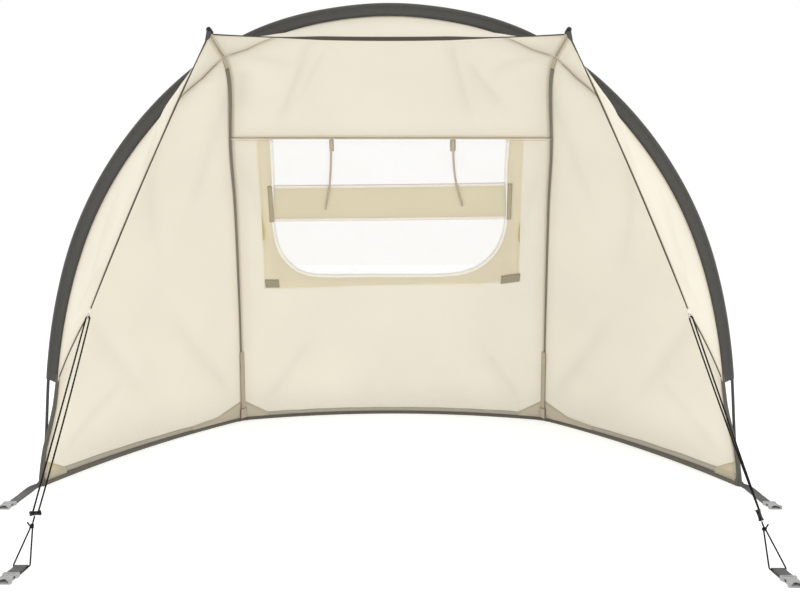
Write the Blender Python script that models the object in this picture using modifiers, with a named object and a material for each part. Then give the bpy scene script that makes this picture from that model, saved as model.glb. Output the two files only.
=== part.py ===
"""Half-dome canopy for a round hot tub.

A cream cloth shell is carried by three bent rods: one arch across the open front, and two
rear rods that rise from the back corners, pass under the arch and end at the visor's tips.
The open front looks along -Y. Each mesh is written with the line between the two front
corners at y = 0, and the empty that carries every piece puts the frame's origin under the
middle of the whole part.
"""

import math

import bmesh
import bpy
import numpy as np
from mathutils import Vector

# Overall sizes, in metres
FRONT_LINE_Y = -0.1348
GAP = 0.0003
# Points well inside the shelter, which tell inwards from outwards
INSIDE = (0.0, 0.0, 0.4)
REAR_INSIDE = (0.0, 0.12, 0.42)

# Rods
ROD_RADIUS = 0.00375
ARCH_LEAN = math.radians(5.6)
# Outer edge of the arch in its own plane, from the front corner to the crown: out, up
ARCH_OUTLINE = ((0.915, 0.0), (0.895, 0.140), (0.878, 0.295), (0.843, 0.481), (0.783, 0.662),
                (0.684, 0.838), (0.531, 1.009), (0.309, 1.149), (0.119, 1.196), (0.0, 1.2045))
ARCH_STEPS_LOW = 4
ARCH_STEPS_SIDE = 14
ARCH_STEPS_TOP = 14
CROSSING_X = 0.403
# How far below the arch rod the cloth's corner lies where the rods cross
CROSSING_SEAM = 0.018
REAR_FOOT = (0.547, 0.770)
REAR_BOW = 0.205
REAR_STEPS_WALL = 14
REAR_STEPS_ROOF = 4
REAR_STEPS_TIP = 3
TIP = (0.405, -0.212, 1.109)
ROD_STACK = 0.0083
ROD_FOOT = 0.003
REAR_ROD_FOOT = 0.0035
# Shares of the rear rod's chord at which its bow is read
REAR_BOW_SHARES = (0.15, 0.3, 0.45, 0.6, 0.74)

# Sleeves
SLEEVE_WIDTH = 0.030
SLEEVE_CLOTH = 0.0008
SLEEVE_LOOP = 0.0048
SLEEVE_END_HEIGHT = 0.287
SLEEVE_NECK = 0.009
SLEEVE_SLOT = 0.0004
SLEEVE_LOOP_POINTS = 6
# Share of one station by which a sleeve stops short of a crossing
SLEEVE_BREAK = 0.22
REAR_SLEEVE_LOW = 0.27
REAR_SLEEVE_TOP = 1.045

# Cloth panels
CLOTH = 0.0016
SEAM_INSET = 0.0012
SEAM_DEPTH = 0.034
ROD_TO_SEAM = 0.0062
HEM_HEIGHT = 0.0145
HEM_THICKNESS = 0.0024
SIDE_BULGE = 0.036
SIDE_OUT = (1.0, 0.49, 0.0)
BACK_BULGE = 0.115
BACK_OUT = (0.0, 1.0, 0.0)
CLOTH_STEPS = 8
HEM_STEPS = 12
HEM_END = 0.0016
# Share of the last row that stays where a panel narrows to a point
POINT_SHARE = 0.8
BACK_STEPS = 16
SEAM_HEIGHT = 0.924
EDGE_RADIUS = 0.0022
EDGE_INSET = 0.0026
CORNER_MARGIN = 0.013
HEM_GAP = 0.0006
VISOR_INSET = 0.0019
# How far the bindings stop short of the arch, the tip, the sleeve and the hem
EDGE_ARCH_END = 0.018
EDGE_TIP_END = 0.005
LOWER_EDGE_TOP_END = 0.0022
LOWER_EDGE_FOOT_END = 0.019
FRONT_EDGE_END = 0.006

# Visor
PULL_POINT = (0.697, -0.195, 0.4685)
FRONT_EDGE_SAG = 0.012
TIP_DROP = 0.009
VISOR_STEPS = 4
# How far the visor's sides stand out between their edges
VISOR_PUFF = 0.0135
VISOR_OUT = (1.0, 0.0, 0.4)
LOWER_EDGE_BOW = 0.004
SIDE_EDGE_BOW = 0.006
LOWER_EDGE_STEPS = 4

# Window opening: half widths at its top and foot, heights, and lower corner
OPENING_TOP_HALF = 0.327
OPENING_LOW_HALF = 0.380
OPENING_TOP = 0.916
OPENING_LOW = 0.530
OPENING_ROUND = 0.150
OPENING_STEPS = 8
OPENING_CUT = (0.05, 0.75)

# Window flap: half widths as shares of the wall's width, and heights on the wall's rods
FLAP_HALF = 0.41
FLAP_LOW = 0.495
PANE_HALF = 0.388
PANE_LOW = 0.512
BAND_LOW = 0.704
BAND_TOP = 0.806
LAYER = 0.0020
FILM = 0.0013
FILM_GAP = 0.00025
FLAP_TOP_MARGIN = 0.004
PANE_TOP_MARGIN = 0.012
PATCH_ACROSS = (0.375, 0.416)
PATCH_UP = (-0.008, 0.016)
PATCH_LAYER = 0.0042
PATCH_THICKNESS = 0.0012
TIE_ACROSS = 0.18
TIE_START_SHARE = 0.996
TIE_END = 0.742
TIE_RADIUS = 0.0015
TIE_WAVE = 0.006
TIE_POINTS = 10

# Guy lines and straps
CORD_RADIUS = 0.0018
CORD_BEND = 0.0044
# The guy lines' ends on the floor, each read on its own side of the photograph
GUY_FEET = {"right": (0.749, -0.536, 0.0062), "left": (0.707, -0.522, 0.0062)}
ADJUSTER_SHARE = 0.822
KNOT_SHARE = 0.868
WEBBING_WIDTH = 0.025
WEBBING_THICKNESS = 0.0014
BUCKLE_LENGTH = 0.036
BUCKLE_WIDTH = 0.030
BUCKLE_HEIGHT = 0.0085
BUCKLE_TAPER = 0.86
BUCKLE_ROUND = 0.0018
BUCKLE_MOUTH = (0.019, 0.026, 0.0038)
BUCKLE_MOUTH_CENTRE = 0.006
BUCKLE_WINDOW = (0.008, 0.012, 0.0038)
BUCKLE_WINDOW_BACK = 0.020
STRAND_HALF = 0.0032
# The loop's strands, from the knot to the webbing: sideways from the middle, and along
LOOP_AT_KNOT = (0.0026, 0.002)
LOOP_RISE = (0.009, 0.003)
LOOP_SPREAD = 0.0006
LOOP_TUCK = 0.0020
LOOP_CLEAR = 0.0012
FOLD_RADIUS = 0.0028
FOLD_LENGTH = 0.036
ADJUSTER_LENGTH = 0.026
ADJUSTER_WIDTH = 0.014
ADJUSTER_THICKNESS = 0.006
KNOT_RADIUS = 0.0048
RING_RADIUS = 0.0056
RING_WIRE = 0.0011
STRAP_ROUTE = ((0.914, -0.0085), (0.930, -0.055), (0.917, -0.150))
STRAP_STEPS = 4
STRAP_LIFT = 0.0008

# Rod feet, caps and ties
FOOT_BORE = 0.0042
FOOT_FAR = 0.0062
FOOT_HALF = 0.0070
FOOT_HEIGHT = 0.026
FOOT_FLOOR = 0.0022
CAP_RADIUS = 0.0060
CAP_LENGTH = 0.017
CAP_DEPTH = 0.014
REAR_CUP_NEAR = 0.0047
TIE_TALL = 0.0108
TIE_WIDE = 0.0088
TIE_CORD = 0.0012

COLOURS = {
    "canopy cloth": ((0.79, 0.74, 0.62), 0.85),
    "sleeve cloth": ((0.085, 0.082, 0.076), 0.9),
    "hem tape": ((0.11, 0.10, 0.08), 0.9),
    "rod": ((0.012, 0.012, 0.014), 0.4),
    "clear film": ((0.90, 0.90, 0.88), 0.15),
    "webbing": ((0.14, 0.14, 0.145), 0.85),
    "cord": ((0.018, 0.016, 0.014), 0.8),
    "black plastic": ((0.015, 0.015, 0.016), 0.4),
    "grey plastic": ((0.40, 0.41, 0.41), 0.45),
}


def clear_scene():
    for old in list(bpy.data.objects):
        bpy.data.objects.remove(old, do_unlink=True)


def collection(name):
    made = bpy.data.collections.new(name)
    bpy.context.scene.collection.children.link(made)
    return made


def material(name):
    """The named finish, made once."""
    found = bpy.data.materials.get(name)
    if found:
        return found
    made = bpy.data.materials.new(name)
    made.use_nodes = True
    shader = made.node_tree.nodes["Principled BSDF"]
    colour, roughness = COLOURS[name]
    shader.inputs["Base Color"].default_value = (*colour, 1.0)
    shader.inputs["Roughness"].default_value = roughness
    shader.inputs["Metallic"].default_value = 0.0
    return made


def unit(vector):
    return np.asarray(vector, float) / np.linalg.norm(vector)


def mirrored(points, side):
    """The points on the right, or their mirror images on the left."""
    return np.asarray(points, float) * np.array([side, 1.0, 1.0])


class Path:
    """A line in space that is read by the share of its length."""

    def __init__(self, points):
        self.points = np.array(points, float)
        steps = np.linalg.norm(np.diff(self.points, axis=0), axis=1)
        self.along = np.concatenate([[0.0], np.cumsum(steps)])
        self.length = self.along[-1]

    def at(self, share):
        want = share * self.length
        return np.array([np.interp(want, self.along, column) for column in self.points.T])

    def tangent(self, share):
        step = 0.002
        return unit(self.at(min(share + step, 1.0)) - self.at(max(share - step, 0.0)))

    def share_where(self, axis, value):
        """The share at which one coordinate first passes a value."""
        column = self.points[:, axis]
        passed = np.nonzero(np.diff(np.sign(column - value)))[0]
        i = int(passed[0])
        part = (value - column[i]) / (column[i + 1] - column[i])
        return (self.along[i] + part * (self.along[i + 1] - self.along[i])) / self.length

    def stations(self, start, end, steps):
        return np.array([self.at(s) for s in np.linspace(start, end, steps + 1)])


def smooth(points, steps=24):
    """A natural cubic spline through the points, with the given steps between neighbours."""
    p = np.array(points, float)
    knots = np.concatenate([[0.0], np.cumsum(np.linalg.norm(np.diff(p, axis=0), axis=1))])
    h = np.diff(knots)
    n = len(p)
    system = np.zeros((n, n))
    right = np.zeros_like(p)
    system[0, 0] = system[-1, -1] = 1.0
    for i in range(1, n - 1):
        system[i, i - 1:i + 2] = h[i - 1], 2 * (h[i - 1] + h[i]), h[i]
        right[i] = 6 * ((p[i + 1] - p[i]) / h[i] - (p[i] - p[i - 1]) / h[i - 1])
    bend = np.linalg.solve(system, right)
    out = []
    for i in range(n - 1):
        for t in np.linspace(0.0, 1.0, steps, endpoint=False):
            a, b = 1 - t, t
            curve = (a ** 3 - a) * bend[i] + (b ** 3 - b) * bend[i + 1]
            out.append(a * p[i] + b * p[i + 1] + curve * h[i] ** 2 / 6)
    out.append(p[-1])
    return np.array(out)


def bulged(start, end, bulge, steps, away):
    """A shallow arc between two points that stands off their chord by the bulge."""
    start, end = np.array(start, float), np.array(end, float)
    share = np.linspace(0.0, 1.0, steps + 1)[:, None]
    return start + share * (end - start) + 4 * bulge * share * (1 - share) * unit(away)


def in_arch_plane(points):
    """Points given as out and up in the arch's own plane, set in space."""
    flat = np.array(points, float)
    up = flat[:, 1]
    return np.stack([flat[:, 0], -up * math.sin(ARCH_LEAN), up * math.cos(ARCH_LEAN)], axis=1)


ARCH_NORMAL = np.array([0.0, math.cos(ARCH_LEAN), math.sin(ARCH_LEAN)])


def arch_outer():
    """The arch's outer edge, from the right front corner over the crown to the left."""
    right = [(x, up) for x, up in ARCH_OUTLINE]
    left = [(-x, up) for x, up in reversed(ARCH_OUTLINE[:-1])]
    return Path(in_arch_plane(smooth(right + left)))


def inward(path):
    """Unit directions in the arch's plane that point from its edge to its inside."""
    steps = np.gradient(path.points, axis=0)
    across = np.cross(steps, ARCH_NORMAL)
    across /= np.linalg.norm(across, axis=1)[:, None]
    middle = np.array(INSIDE) - path.points
    flip = np.sign((across * middle).sum(axis=1))[:, None]
    return across * flip


def arch_inset(depth):
    """A line inside the arch's outer edge, by a depth or by one depth for each point."""
    outer = arch_outer()
    depths = np.broadcast_to(depth, len(outer.points))[:, None]
    return Path(outer.points + inward(outer) * depths)


def front_seam():
    """Where the cloth ends at the arch: on the sleeve, and close to the bare rod at the corner."""
    height = arch_outer().points[:, 2]
    share = np.clip(height / SLEEVE_END_HEIGHT, 0.0, 1.0)
    ease = share * share * (3 - 2 * share)
    return arch_inset(CORNER_MARGIN + (SEAM_DEPTH - CORNER_MARGIN) * ease)


def rear_rod():
    """Centre of the right rear rod: a bowed line from its foot, under the arch, to the tip."""
    crossing = crossing_point()
    foot, tip = np.array([*REAR_FOOT, REAR_ROD_FOOT]), np.array(TIP)
    chord = tip - foot
    out = np.cross(unit(chord), (1.0, 0.0, 0.0))
    out = unit(out - (out @ unit(chord)) * unit(chord)) * np.sign(out[2])
    body = [foot + s * chord + REAR_BOW * math.sin(math.pi * s) * out for s in REAR_BOW_SHARES]
    slope = (crossing[0] - foot[0]) / (crossing[1] - foot[1])
    for point in body:
        point[0] = foot[0] + slope * (point[1] - foot[1])
    return Path(smooth([foot, *body, crossing, tip]))


def crossing_point():
    """Centre of the rear rod where it passes under the arch rod."""
    rod = arch_inset(rod_depth())
    share = rod.share_where(0, CROSSING_X)
    direction = unit(np.array(INSIDE) - rod.at(share))
    across = np.cross(rod.tangent(share), ARCH_NORMAL)
    across *= np.sign(across @ direction)
    return rod.at(share) + unit(across) * ROD_STACK


def rod_depth():
    """How far the arch rod's centre lies inside the sleeve's outer edge."""
    return SLEEVE_LOOP + SLEEVE_CLOTH / 2


def rear_seam():
    """Where side wall, back wall and roof meet, just inside the right rear rod."""
    rod = rear_rod()
    steps = np.gradient(rod.points, axis=0)
    steps /= np.linalg.norm(steps, axis=1)[:, None]
    to_middle = np.array(REAR_INSIDE) - rod.points
    to_middle -= (to_middle * steps).sum(axis=1)[:, None] * steps
    to_middle /= np.linalg.norm(to_middle, axis=1)[:, None]
    return Path(rod.points + to_middle * ROD_TO_SEAM)


def coons(left, right, bottom, top):
    """A patch of cloth stretched between four edges that meet at its corners."""
    rows, columns = len(left), len(bottom)
    v = np.linspace(0.0, 1.0, rows)[:, None, None]
    u = np.linspace(0.0, 1.0, columns)[None, :, None]
    across = (1 - u) * left[:, None] + u * right[:, None]
    along = (1 - v) * bottom[None] + v * top[None]
    corners = ((1 - u) * (1 - v) * bottom[0] + u * (1 - v) * bottom[-1]
               + (1 - u) * v * top[0] + u * v * top[-1])
    return across + along - corners


def trimmed(grid, left=0.0, right=0.0, bottom=0.0, top=0.0):
    """The grid with its edges drawn back from the seams."""
    grid = grid.copy()
    for cut, edge, inner in ((left, grid[:, 0], grid[:, 1]), (right, grid[:, -1], grid[:, -2]),
                             (bottom, grid[0], grid[1]), (top, grid[-1], grid[-2])):
        if np.any(cut):
            towards = inner - edge
            edge += towards * (cut / np.linalg.norm(towards, axis=1))[:, None]
    return grid


class Canopy:
    """The lines that the cloth is cut to, on the right half, and the pieces built on them."""

    def __init__(self):
        self.parts = collection("Hot tub canopy")
        self.cutters = collection("Cutters")
        self.base = bpy.data.objects.new("canopy_base", None)
        self.base.location = (0.0, FRONT_LINE_Y, 0.0)
        self.parts.objects.link(self.base)
        self.set_out_arch()
        self.set_out_rear()
        self.set_out_visor()

    def set_out_arch(self):
        """Stations along the arch, the same ones for its rod, sleeves and panels."""
        rod, seam = arch_inset(rod_depth()), front_seam()
        crossing = rod.share_where(0, CROSSING_X)
        sleeve_end = rod.share_where(2, SLEEVE_END_HEIGHT)
        foot = rod.share_where(2, ROD_FOOT)
        low = np.linspace(foot, sleeve_end, ARCH_STEPS_LOW + 1)
        side = np.linspace(sleeve_end, crossing, ARCH_STEPS_SIDE + 1)
        top = np.linspace(crossing, 0.5, ARCH_STEPS_TOP // 2 + 1)
        half = np.concatenate([low, side[1:], top[1:]])
        self.shares = np.concatenate([half, 1.0 - half[-2::-1]])
        self.arch_rod = np.array([rod.at(s) for s in self.shares])
        self.arch_seam = np.array([seam.at(s) for s in self.shares])
        self.sleeve_start = ARCH_STEPS_LOW
        self.crossing_index = ARCH_STEPS_LOW + ARCH_STEPS_SIDE
        for i in (self.crossing_index, -1 - self.crossing_index):
            drop = unit(self.arch_seam[i] - self.arch_rod[i])
            self.arch_seam[i] = self.arch_rod[i] + drop * CROSSING_SEAM
        self.seam_path = seam

    def set_out_rear(self):
        """Stations along the right rear rod and the seam under it."""
        rod, seam = rear_rod(), rear_seam()
        wall_end = rod.share_where(2, SEAM_HEIGHT)
        crossing = self.share_near(rod, crossing_point())
        wall = np.linspace(0.0, wall_end, REAR_STEPS_WALL + 1)
        roof = np.linspace(wall_end, crossing, REAR_STEPS_ROOF + 1)
        tip = np.linspace(crossing, 1.0, REAR_STEPS_TIP + 1)
        self.rear_shares = np.concatenate([wall, roof[1:], tip[1:]])
        self.rear_rod = np.array([rod.at(s) for s in self.rear_shares])
        self.rear_seam = np.array([seam.at(s) for s in self.rear_shares])
        self.rear_crossing = REAR_STEPS_WALL + REAR_STEPS_ROOF
        self.rear_path = rod
        self.rear_seam[0] = seam.at(seam.share_where(2, HEM_HEIGHT + HEM_GAP))
        self.rear_seam[self.rear_crossing] = self.arch_seam[self.crossing_index]
        front = self.seam_path.at(self.seam_path.share_where(2, HEM_HEIGHT + HEM_GAP))
        self.arch_seam[0] = front
        self.arch_seam[-1] = mirrored(front, -1)

    @staticmethod
    def share_near(path, point):
        gaps = np.linalg.norm(path.points - point, axis=1)
        return path.along[int(gaps.argmin())] / path.length

    def set_out_visor(self):
        """The visor's free edges: along the top between the tips, and down to the arch."""
        tip = np.array(TIP) - np.array([0.0, 0.0, TIP_DROP])
        pull = np.array(PULL_POINT)
        start = self.arch_seam[self.sleeve_start]
        lower = bulged(start, pull, LOWER_EDGE_BOW, LOWER_EDGE_STEPS, VISOR_OUT)
        upper = bulged(pull, tip, SIDE_EDGE_BOW, ARCH_STEPS_SIDE - LOWER_EDGE_STEPS, VISOR_OUT)
        self.visor_side_edge = np.concatenate([lower, upper[1:]])
        self.visor_top_edge = bulged(tip, mirrored(tip, -1), FRONT_EDGE_SAG, ARCH_STEPS_TOP,
                                     (0.0, 0.0, -1.0))

    def add(self, name, data, finish):
        made = bpy.data.objects.new(name, data)
        made.parent = self.base
        data.materials.append(material(finish))
        self.parts.objects.link(made)
        return made

    def cloth(self, name, grid, thickness, finish, skip=None):
        """A sheet through a grid of points, given its thickness by Solidify."""
        rows, columns = grid.shape[:2]
        mesh = bpy.data.meshes.new(name)
        bm = bmesh.new()
        bmesh.ops.create_grid(bm, x_segments=columns - 1, y_segments=rows - 1, size=0.5)
        bm.verts.ensure_lookup_table()
        for vert in bm.verts:
            i = round((vert.co.x + 0.5) * (columns - 1))
            j = round((vert.co.y + 0.5) * (rows - 1))
            vert.index = j * columns + i
            vert.co = Vector(grid[j, i])
        if skip:
            inside = [f for f in bm.faces
                      if all(skip(*divmod(v.index, columns)) for v in f.verts)]
            bmesh.ops.delete(bm, geom=inside, context="FACES")
        bm.to_mesh(mesh)
        bm.free()
        made = self.add(name, mesh, finish)
        made.data.shade_smooth()
        shell = made.modifiers.new("Thickness", "SOLIDIFY")
        shell.thickness = thickness
        shell.offset = 0.0
        shell.use_even_offset = True
        return made

    def tube(self, name, points, radius, finish, closed=False, caps=True, sides=2):
        """A round bar along a line of points."""
        curve = bpy.data.curves.new(name, "CURVE")
        curve.dimensions = "3D"
        curve.bevel_depth = radius
        curve.bevel_resolution = sides
        curve.use_fill_caps = caps and not closed
        spline = curve.splines.new("POLY")
        spline.points.add(len(points) - 1)
        for knot, point in zip(spline.points, points):
            knot.co = (*point, 1.0)
        spline.use_cyclic_u = closed
        return self.add(name, curve, finish)

    def as_mesh(self, made):
        """The curve as a welded mesh, in the same place."""
        name = made.name
        mesh = bpy.data.meshes.new_from_object(
            made.evaluated_get(bpy.context.evaluated_depsgraph_get()))
        bm = bmesh.new()
        bm.from_mesh(mesh)
        bmesh.ops.remove_doubles(bm, verts=bm.verts, dist=0.00001)
        bm.to_mesh(mesh)
        bm.free()
        bpy.data.objects.remove(made, do_unlink=True)
        mesh.name = name
        new = bpy.data.objects.new(name, mesh)
        new.parent = self.base
        self.parts.objects.link(new)
        return new


def build_panels(canopy):
    """The seven cloth panels: side walls, back wall, roof, and the visor's three parts."""
    k, q = canopy.crossing_index, canopy.sleeve_start
    for side, word in ((1, "right"), (-1, "left")):
        front = canopy.arch_seam[:k + 1]
        back = canopy.rear_seam[:canopy.rear_crossing + 1]
        bottom = bulged(front[0], back[0], SIDE_BULGE, CLOTH_STEPS, SIDE_OUT)
        top = np.repeat(front[-1][None], CLOTH_STEPS + 1, axis=0)
        wall = coons(front, back, bottom, top)
        wall[-1] = wall[-2] + POINT_SHARE * (wall[-1] - wall[-2])
        free = np.arange(len(wall)) <= q
        wall = trimmed(wall, left=np.where(free, EDGE_INSET + GAP / 3, SEAM_INSET),
                       right=SEAM_INSET)
        canopy.cloth(f"side_wall_{word}", mirrored(wall, side), CLOTH, "canopy cloth")

        arch = canopy.arch_seam[q:k + 1]
        edge = canopy.visor_side_edge
        across = np.linspace(0.0, 1.0, VISOR_STEPS + 1)[:, None]
        start = np.repeat(arch[0][None], VISOR_STEPS + 1, axis=0)
        visor = coons(arch, edge, start, arch[-1] + across * (edge[-1] - arch[-1]))
        visor[0] = visor[1] + POINT_SHARE * (visor[0] - visor[1])
        visor = trimmed(puffed(visor), left=VISOR_INSET, right=EDGE_INSET, top=SEAM_INSET)
        canopy.cloth(f"visor_{word}", mirrored(visor, side), CLOTH, "canopy cloth")

    canopy.cloth("roof_panel", roof_grid(canopy), CLOTH, "canopy cloth")
    canopy.cloth("visor_top", visor_top_grid(canopy), CLOTH, "canopy cloth")
    back = canopy.cloth("back_wall", trimmed(back_grid(canopy), SEAM_INSET, SEAM_INSET,
                                             0.0, SEAM_INSET), CLOTH, "canopy cloth")
    cut_opening(canopy, back)


def puffed(grid):
    """The visor's side, standing out between its edges near its upper end."""
    v = np.linspace(0.0, 1.0, len(grid))[:, None]
    u = np.linspace(0.0, 1.0, grid.shape[1])[None, :]
    swell = np.sin(math.pi * np.clip((v - 0.72) / 0.28, 0.0, 1.0)) ** 1.2
    rise = VISOR_PUFF * 4 * u * (1 - u) * swell
    normal = unit(np.cross(np.gradient(grid, axis=1), np.gradient(grid, axis=0)))
    away = ((grid - np.array(REAR_INSIDE)) * normal).sum(axis=2).mean()
    return grid + normal * np.sign(away) * rise[..., None]


def back_edges(canopy):
    right = canopy.rear_seam[:REAR_STEPS_WALL + 1]
    left = mirrored(right, -1)
    bottom = bulged(left[0], right[0], BACK_BULGE, BACK_STEPS, BACK_OUT)
    share = np.linspace(0.0, 1.0, BACK_STEPS + 1)[:, None]
    top = left[-1] + share * (right[-1] - left[-1])
    return left, right, bottom, top


def back_grid(canopy):
    return coons(*back_edges(canopy))


def roof_grid(canopy):
    k = canopy.crossing_index
    right = canopy.rear_seam[REAR_STEPS_WALL:canopy.rear_crossing + 1]
    left = mirrored(right, -1)
    top = canopy.arch_seam[k:len(canopy.arch_seam) - k][::-1]
    share = np.linspace(0.0, 1.0, len(top))[:, None]
    bottom = left[0] + share * (right[0] - left[0])
    grid = coons(left, right, bottom, top)
    return trimmed(grid, SEAM_INSET, SEAM_INSET, SEAM_INSET, SEAM_INSET)


def visor_top_grid(canopy):
    k = canopy.crossing_index
    back = canopy.arch_seam[k:len(canopy.arch_seam) - k]
    front = canopy.visor_top_edge
    share = np.linspace(0.0, 1.0, VISOR_STEPS + 1)[:, None]
    right = back[0] + share * (front[0] - back[0])
    left = back[-1] + share * (front[-1] - back[-1])
    grid = coons(right, left, back, front)
    return trimmed(grid, SEAM_INSET, SEAM_INSET, VISOR_INSET, EDGE_INSET)


class BackWall:
    """Reads the back wall's surface at any share across it and any height of its rods."""

    def __init__(self, canopy):
        self.left, self.right, self.bottom, self.top = back_edges(canopy)
        self.heights = self.right[:, 2]

    def share_at(self, height):
        rows = np.linspace(0.0, 1.0, len(self.heights))
        return float(np.interp(height, self.heights, rows))

    def read(self, line, share):
        steps = np.linspace(0.0, 1.0, len(line))
        return np.array([np.interp(share, steps, column) for column in line.T])

    def flat(self, u, v):
        across = (1 - u) * self.read(self.left, v) + u * self.read(self.right, v)
        along = (1 - v) * self.read(self.bottom, u) + v * self.read(self.top, u)
        corners = ((1 - u) * (1 - v) * self.bottom[0] + u * (1 - v) * self.bottom[-1]
                   + (1 - u) * v * self.top[0] + u * v * self.top[-1])
        return across + along - corners

    def point(self, u, v, out=0.0):
        """A point on the wall, or standing off it to the outside."""
        step = 0.02
        du = self.flat(u + step, v) - self.flat(u - step, v)
        dv = self.flat(u, v + step) - self.flat(u, v - step)
        normal = unit(np.cross(dv, du))
        return self.flat(u, v) + normal * out

    def grid(self, us, shares, out):
        return np.array([[self.point(u, v, out) for u in us] for v in shares])


def opening_outline():
    """The window opening seen from the front: straight above, with round lower corners."""
    right = []
    for turn in range(OPENING_STEPS + 1):
        angle = math.radians(90 * turn / OPENING_STEPS)
        right.append((OPENING_LOW_HALF - OPENING_ROUND * (1 - math.sin(angle)),
                      OPENING_LOW + OPENING_ROUND * (1 - math.cos(angle))))
    right.append((OPENING_TOP_HALF, OPENING_TOP))
    return right + [(-x, z) for x, z in reversed(right)]


def cut_opening(canopy, wall_object):
    """Cuts the window opening through the back wall, straight from the front to the back."""
    near, far = OPENING_CUT
    mesh = bpy.data.meshes.new("opening_cutter")
    bm = bmesh.new()
    face = bm.faces.new([bm.verts.new((x, near, z)) for x, z in opening_outline()])
    made = bmesh.ops.extrude_face_region(bm, geom=[face])
    moved = [v for v in made["geom"] if isinstance(v, bmesh.types.BMVert)]
    bmesh.ops.translate(bm, vec=(0.0, far - near, 0.0), verts=moved)
    bmesh.ops.recalc_face_normals(bm, faces=bm.faces)
    bm.to_mesh(mesh)
    bm.free()
    cutter(canopy, "opening_cutter", mesh, wall_object)


def between(low, high, steps):
    """Both ends, and the wall's own stations between them, so that layers bend alike."""
    margin = 0.004
    inner = [i / steps for i in range(1, steps)
             if low + margin < i / steps < high - margin]
    return [low, *inner, high]


def build_window(canopy):
    """The flap outside the opening, with its panes, cross band, patches and inner ties."""
    wall = BackWall(canopy)
    low, high = wall.share_at(FLAP_LOW), 1.0 - FLAP_TOP_MARGIN
    pane_low, pane_high = wall.share_at(PANE_LOW), high - PANE_TOP_MARGIN
    band_low, band_high = wall.share_at(BAND_LOW), wall.share_at(BAND_TOP)
    left, right = 0.5 - PANE_HALF, 0.5 + PANE_HALF
    outer = [0.5 - FLAP_HALF, *between(left, right, BACK_STEPS), 0.5 + FLAP_HALF]
    levels = [low, *between(pane_low, pane_high, REAR_STEPS_WALL), high]
    canopy.cloth("window_flap", wall.grid(outer, levels, LAYER), CLOTH, "canopy cloth",
                 skip=lambda j, i: 1 <= j <= len(levels) - 2 and 1 <= i <= len(outer) - 2)
    clear = FILM_GAP
    columns = between(left + clear, right - clear, BACK_STEPS)
    parts = (("window_pane_lower", pane_low + clear, band_low - clear, "clear film"),
             ("window_band", band_low, band_high, "canopy cloth"),
             ("window_pane_upper", band_high + clear, pane_high - clear, "clear film"))
    for name, start, end, finish in parts:
        rows = between(start, end, REAR_STEPS_WALL)
        canopy.cloth(name, wall.grid(columns, rows, LAYER), FILM, finish)
    for side, word in ((1, "right"), (-1, "left")):
        reach = sorted(0.5 + side * share for share in PATCH_ACROSS)
        grid = wall.grid(reach, [low + up for up in PATCH_UP], PATCH_LAYER)
        canopy.cloth(f"flap_patch_{word}", grid, PATCH_THICKNESS, "webbing")
        shares = np.linspace(TIE_START_SHARE, wall.share_at(TIE_END), TIE_POINTS)
        inside = CLOTH / 2 + TIE_RADIUS + GAP
        line = [wall.point(0.5 + side * (TIE_ACROSS + TIE_WAVE * math.sin(0.9 * turn)), v,
                           -inside) for turn, v in enumerate(shares)]
        canopy.tube(f"window_tie_{word}", line, TIE_RADIUS, "webbing")


def build_rods(canopy):
    canopy.tube("arch_rod", canopy.arch_rod, ROD_RADIUS, "rod")
    for side, word in ((1, "right"), (-1, "left")):
        line = mirrored(canopy.rear_rod, side)
        canopy.tube(f"rear_rod_{word}", line, ROD_RADIUS, "rod")


def sleeve_profile(width):
    """The folded sleeve in section: inward distance from the rod, and distance to each side."""
    fin = SLEEVE_CLOTH / 2 + SLEEVE_SLOT
    start = math.radians(35)
    turns = np.linspace(start, 2 * math.pi - start, SLEEVE_LOOP_POINTS)
    loop = [(SLEEVE_LOOP * math.cos(a), SLEEVE_LOOP * math.sin(a)) for a in turns]
    return [(width, fin), (SLEEVE_NECK, fin), *loop, (SLEEVE_NECK, -fin), (width, -fin)]


def build_arch_sleeve(canopy):
    """Three lengths of folded sleeve round the arch rod, with a break at each crossing."""
    rod, k, q = canopy.arch_rod, canopy.crossing_index, canopy.sleeve_start
    count = len(rod)
    steps = np.gradient(rod, axis=0)
    spans = (("right", q, k), ("top", k, count - 1 - k), ("left", count - 1 - k, count - 1 - q))
    full = SEAM_DEPTH - rod_depth() - SLEEVE_CLOTH
    for word, first, last in spans:
        rows = []
        for i in range(first, last + 1):
            centre, along = rod[i], unit(steps[i])
            if i == k or i == count - 1 - k:
                towards = rod[i + 1] if i == first else rod[i - 1]
                centre = centre + (towards - centre) * SLEEVE_BREAK
            into = np.cross(along, ARCH_NORMAL)
            into = unit(into) * np.sign(into @ (np.array(INSIDE) - centre))
            wide = min(full, float(np.linalg.norm(canopy.arch_seam[i] - rod[i])) - SLEEVE_CLOTH)
            if abs(min(i, count - 1 - i) - k) == 1:
                wide -= 2 * GAP
            rows.append([centre + into * a + ARCH_NORMAL * b for a, b in sleeve_profile(wide)])
        canopy.cloth(f"arch_sleeve_{word}", np.array(rows), SLEEVE_CLOTH, "sleeve cloth")


def build_rear_sleeves(canopy):
    """A narrow round sleeve on each rear rod, open at both ends."""
    rod = canopy.rear_rod
    heights = rod[:, 2]
    first = int(np.argmax(heights > REAR_SLEEVE_LOW))
    last = int(np.argmax(heights > REAR_SLEEVE_TOP)) - 1
    for side, word in ((1, "right"), (-1, "left")):
        line = mirrored(rod[first:last + 1], side)
        made = canopy.tube(f"rear_sleeve_{word}", line, SLEEVE_LOOP + SLEEVE_SLOT, "sleeve cloth",
                           caps=False)
        shell = canopy.as_mesh(made).modifiers.new("Thickness", "SOLIDIFY")
        shell.thickness = SLEEVE_CLOTH
        shell.offset = -1.0


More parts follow.
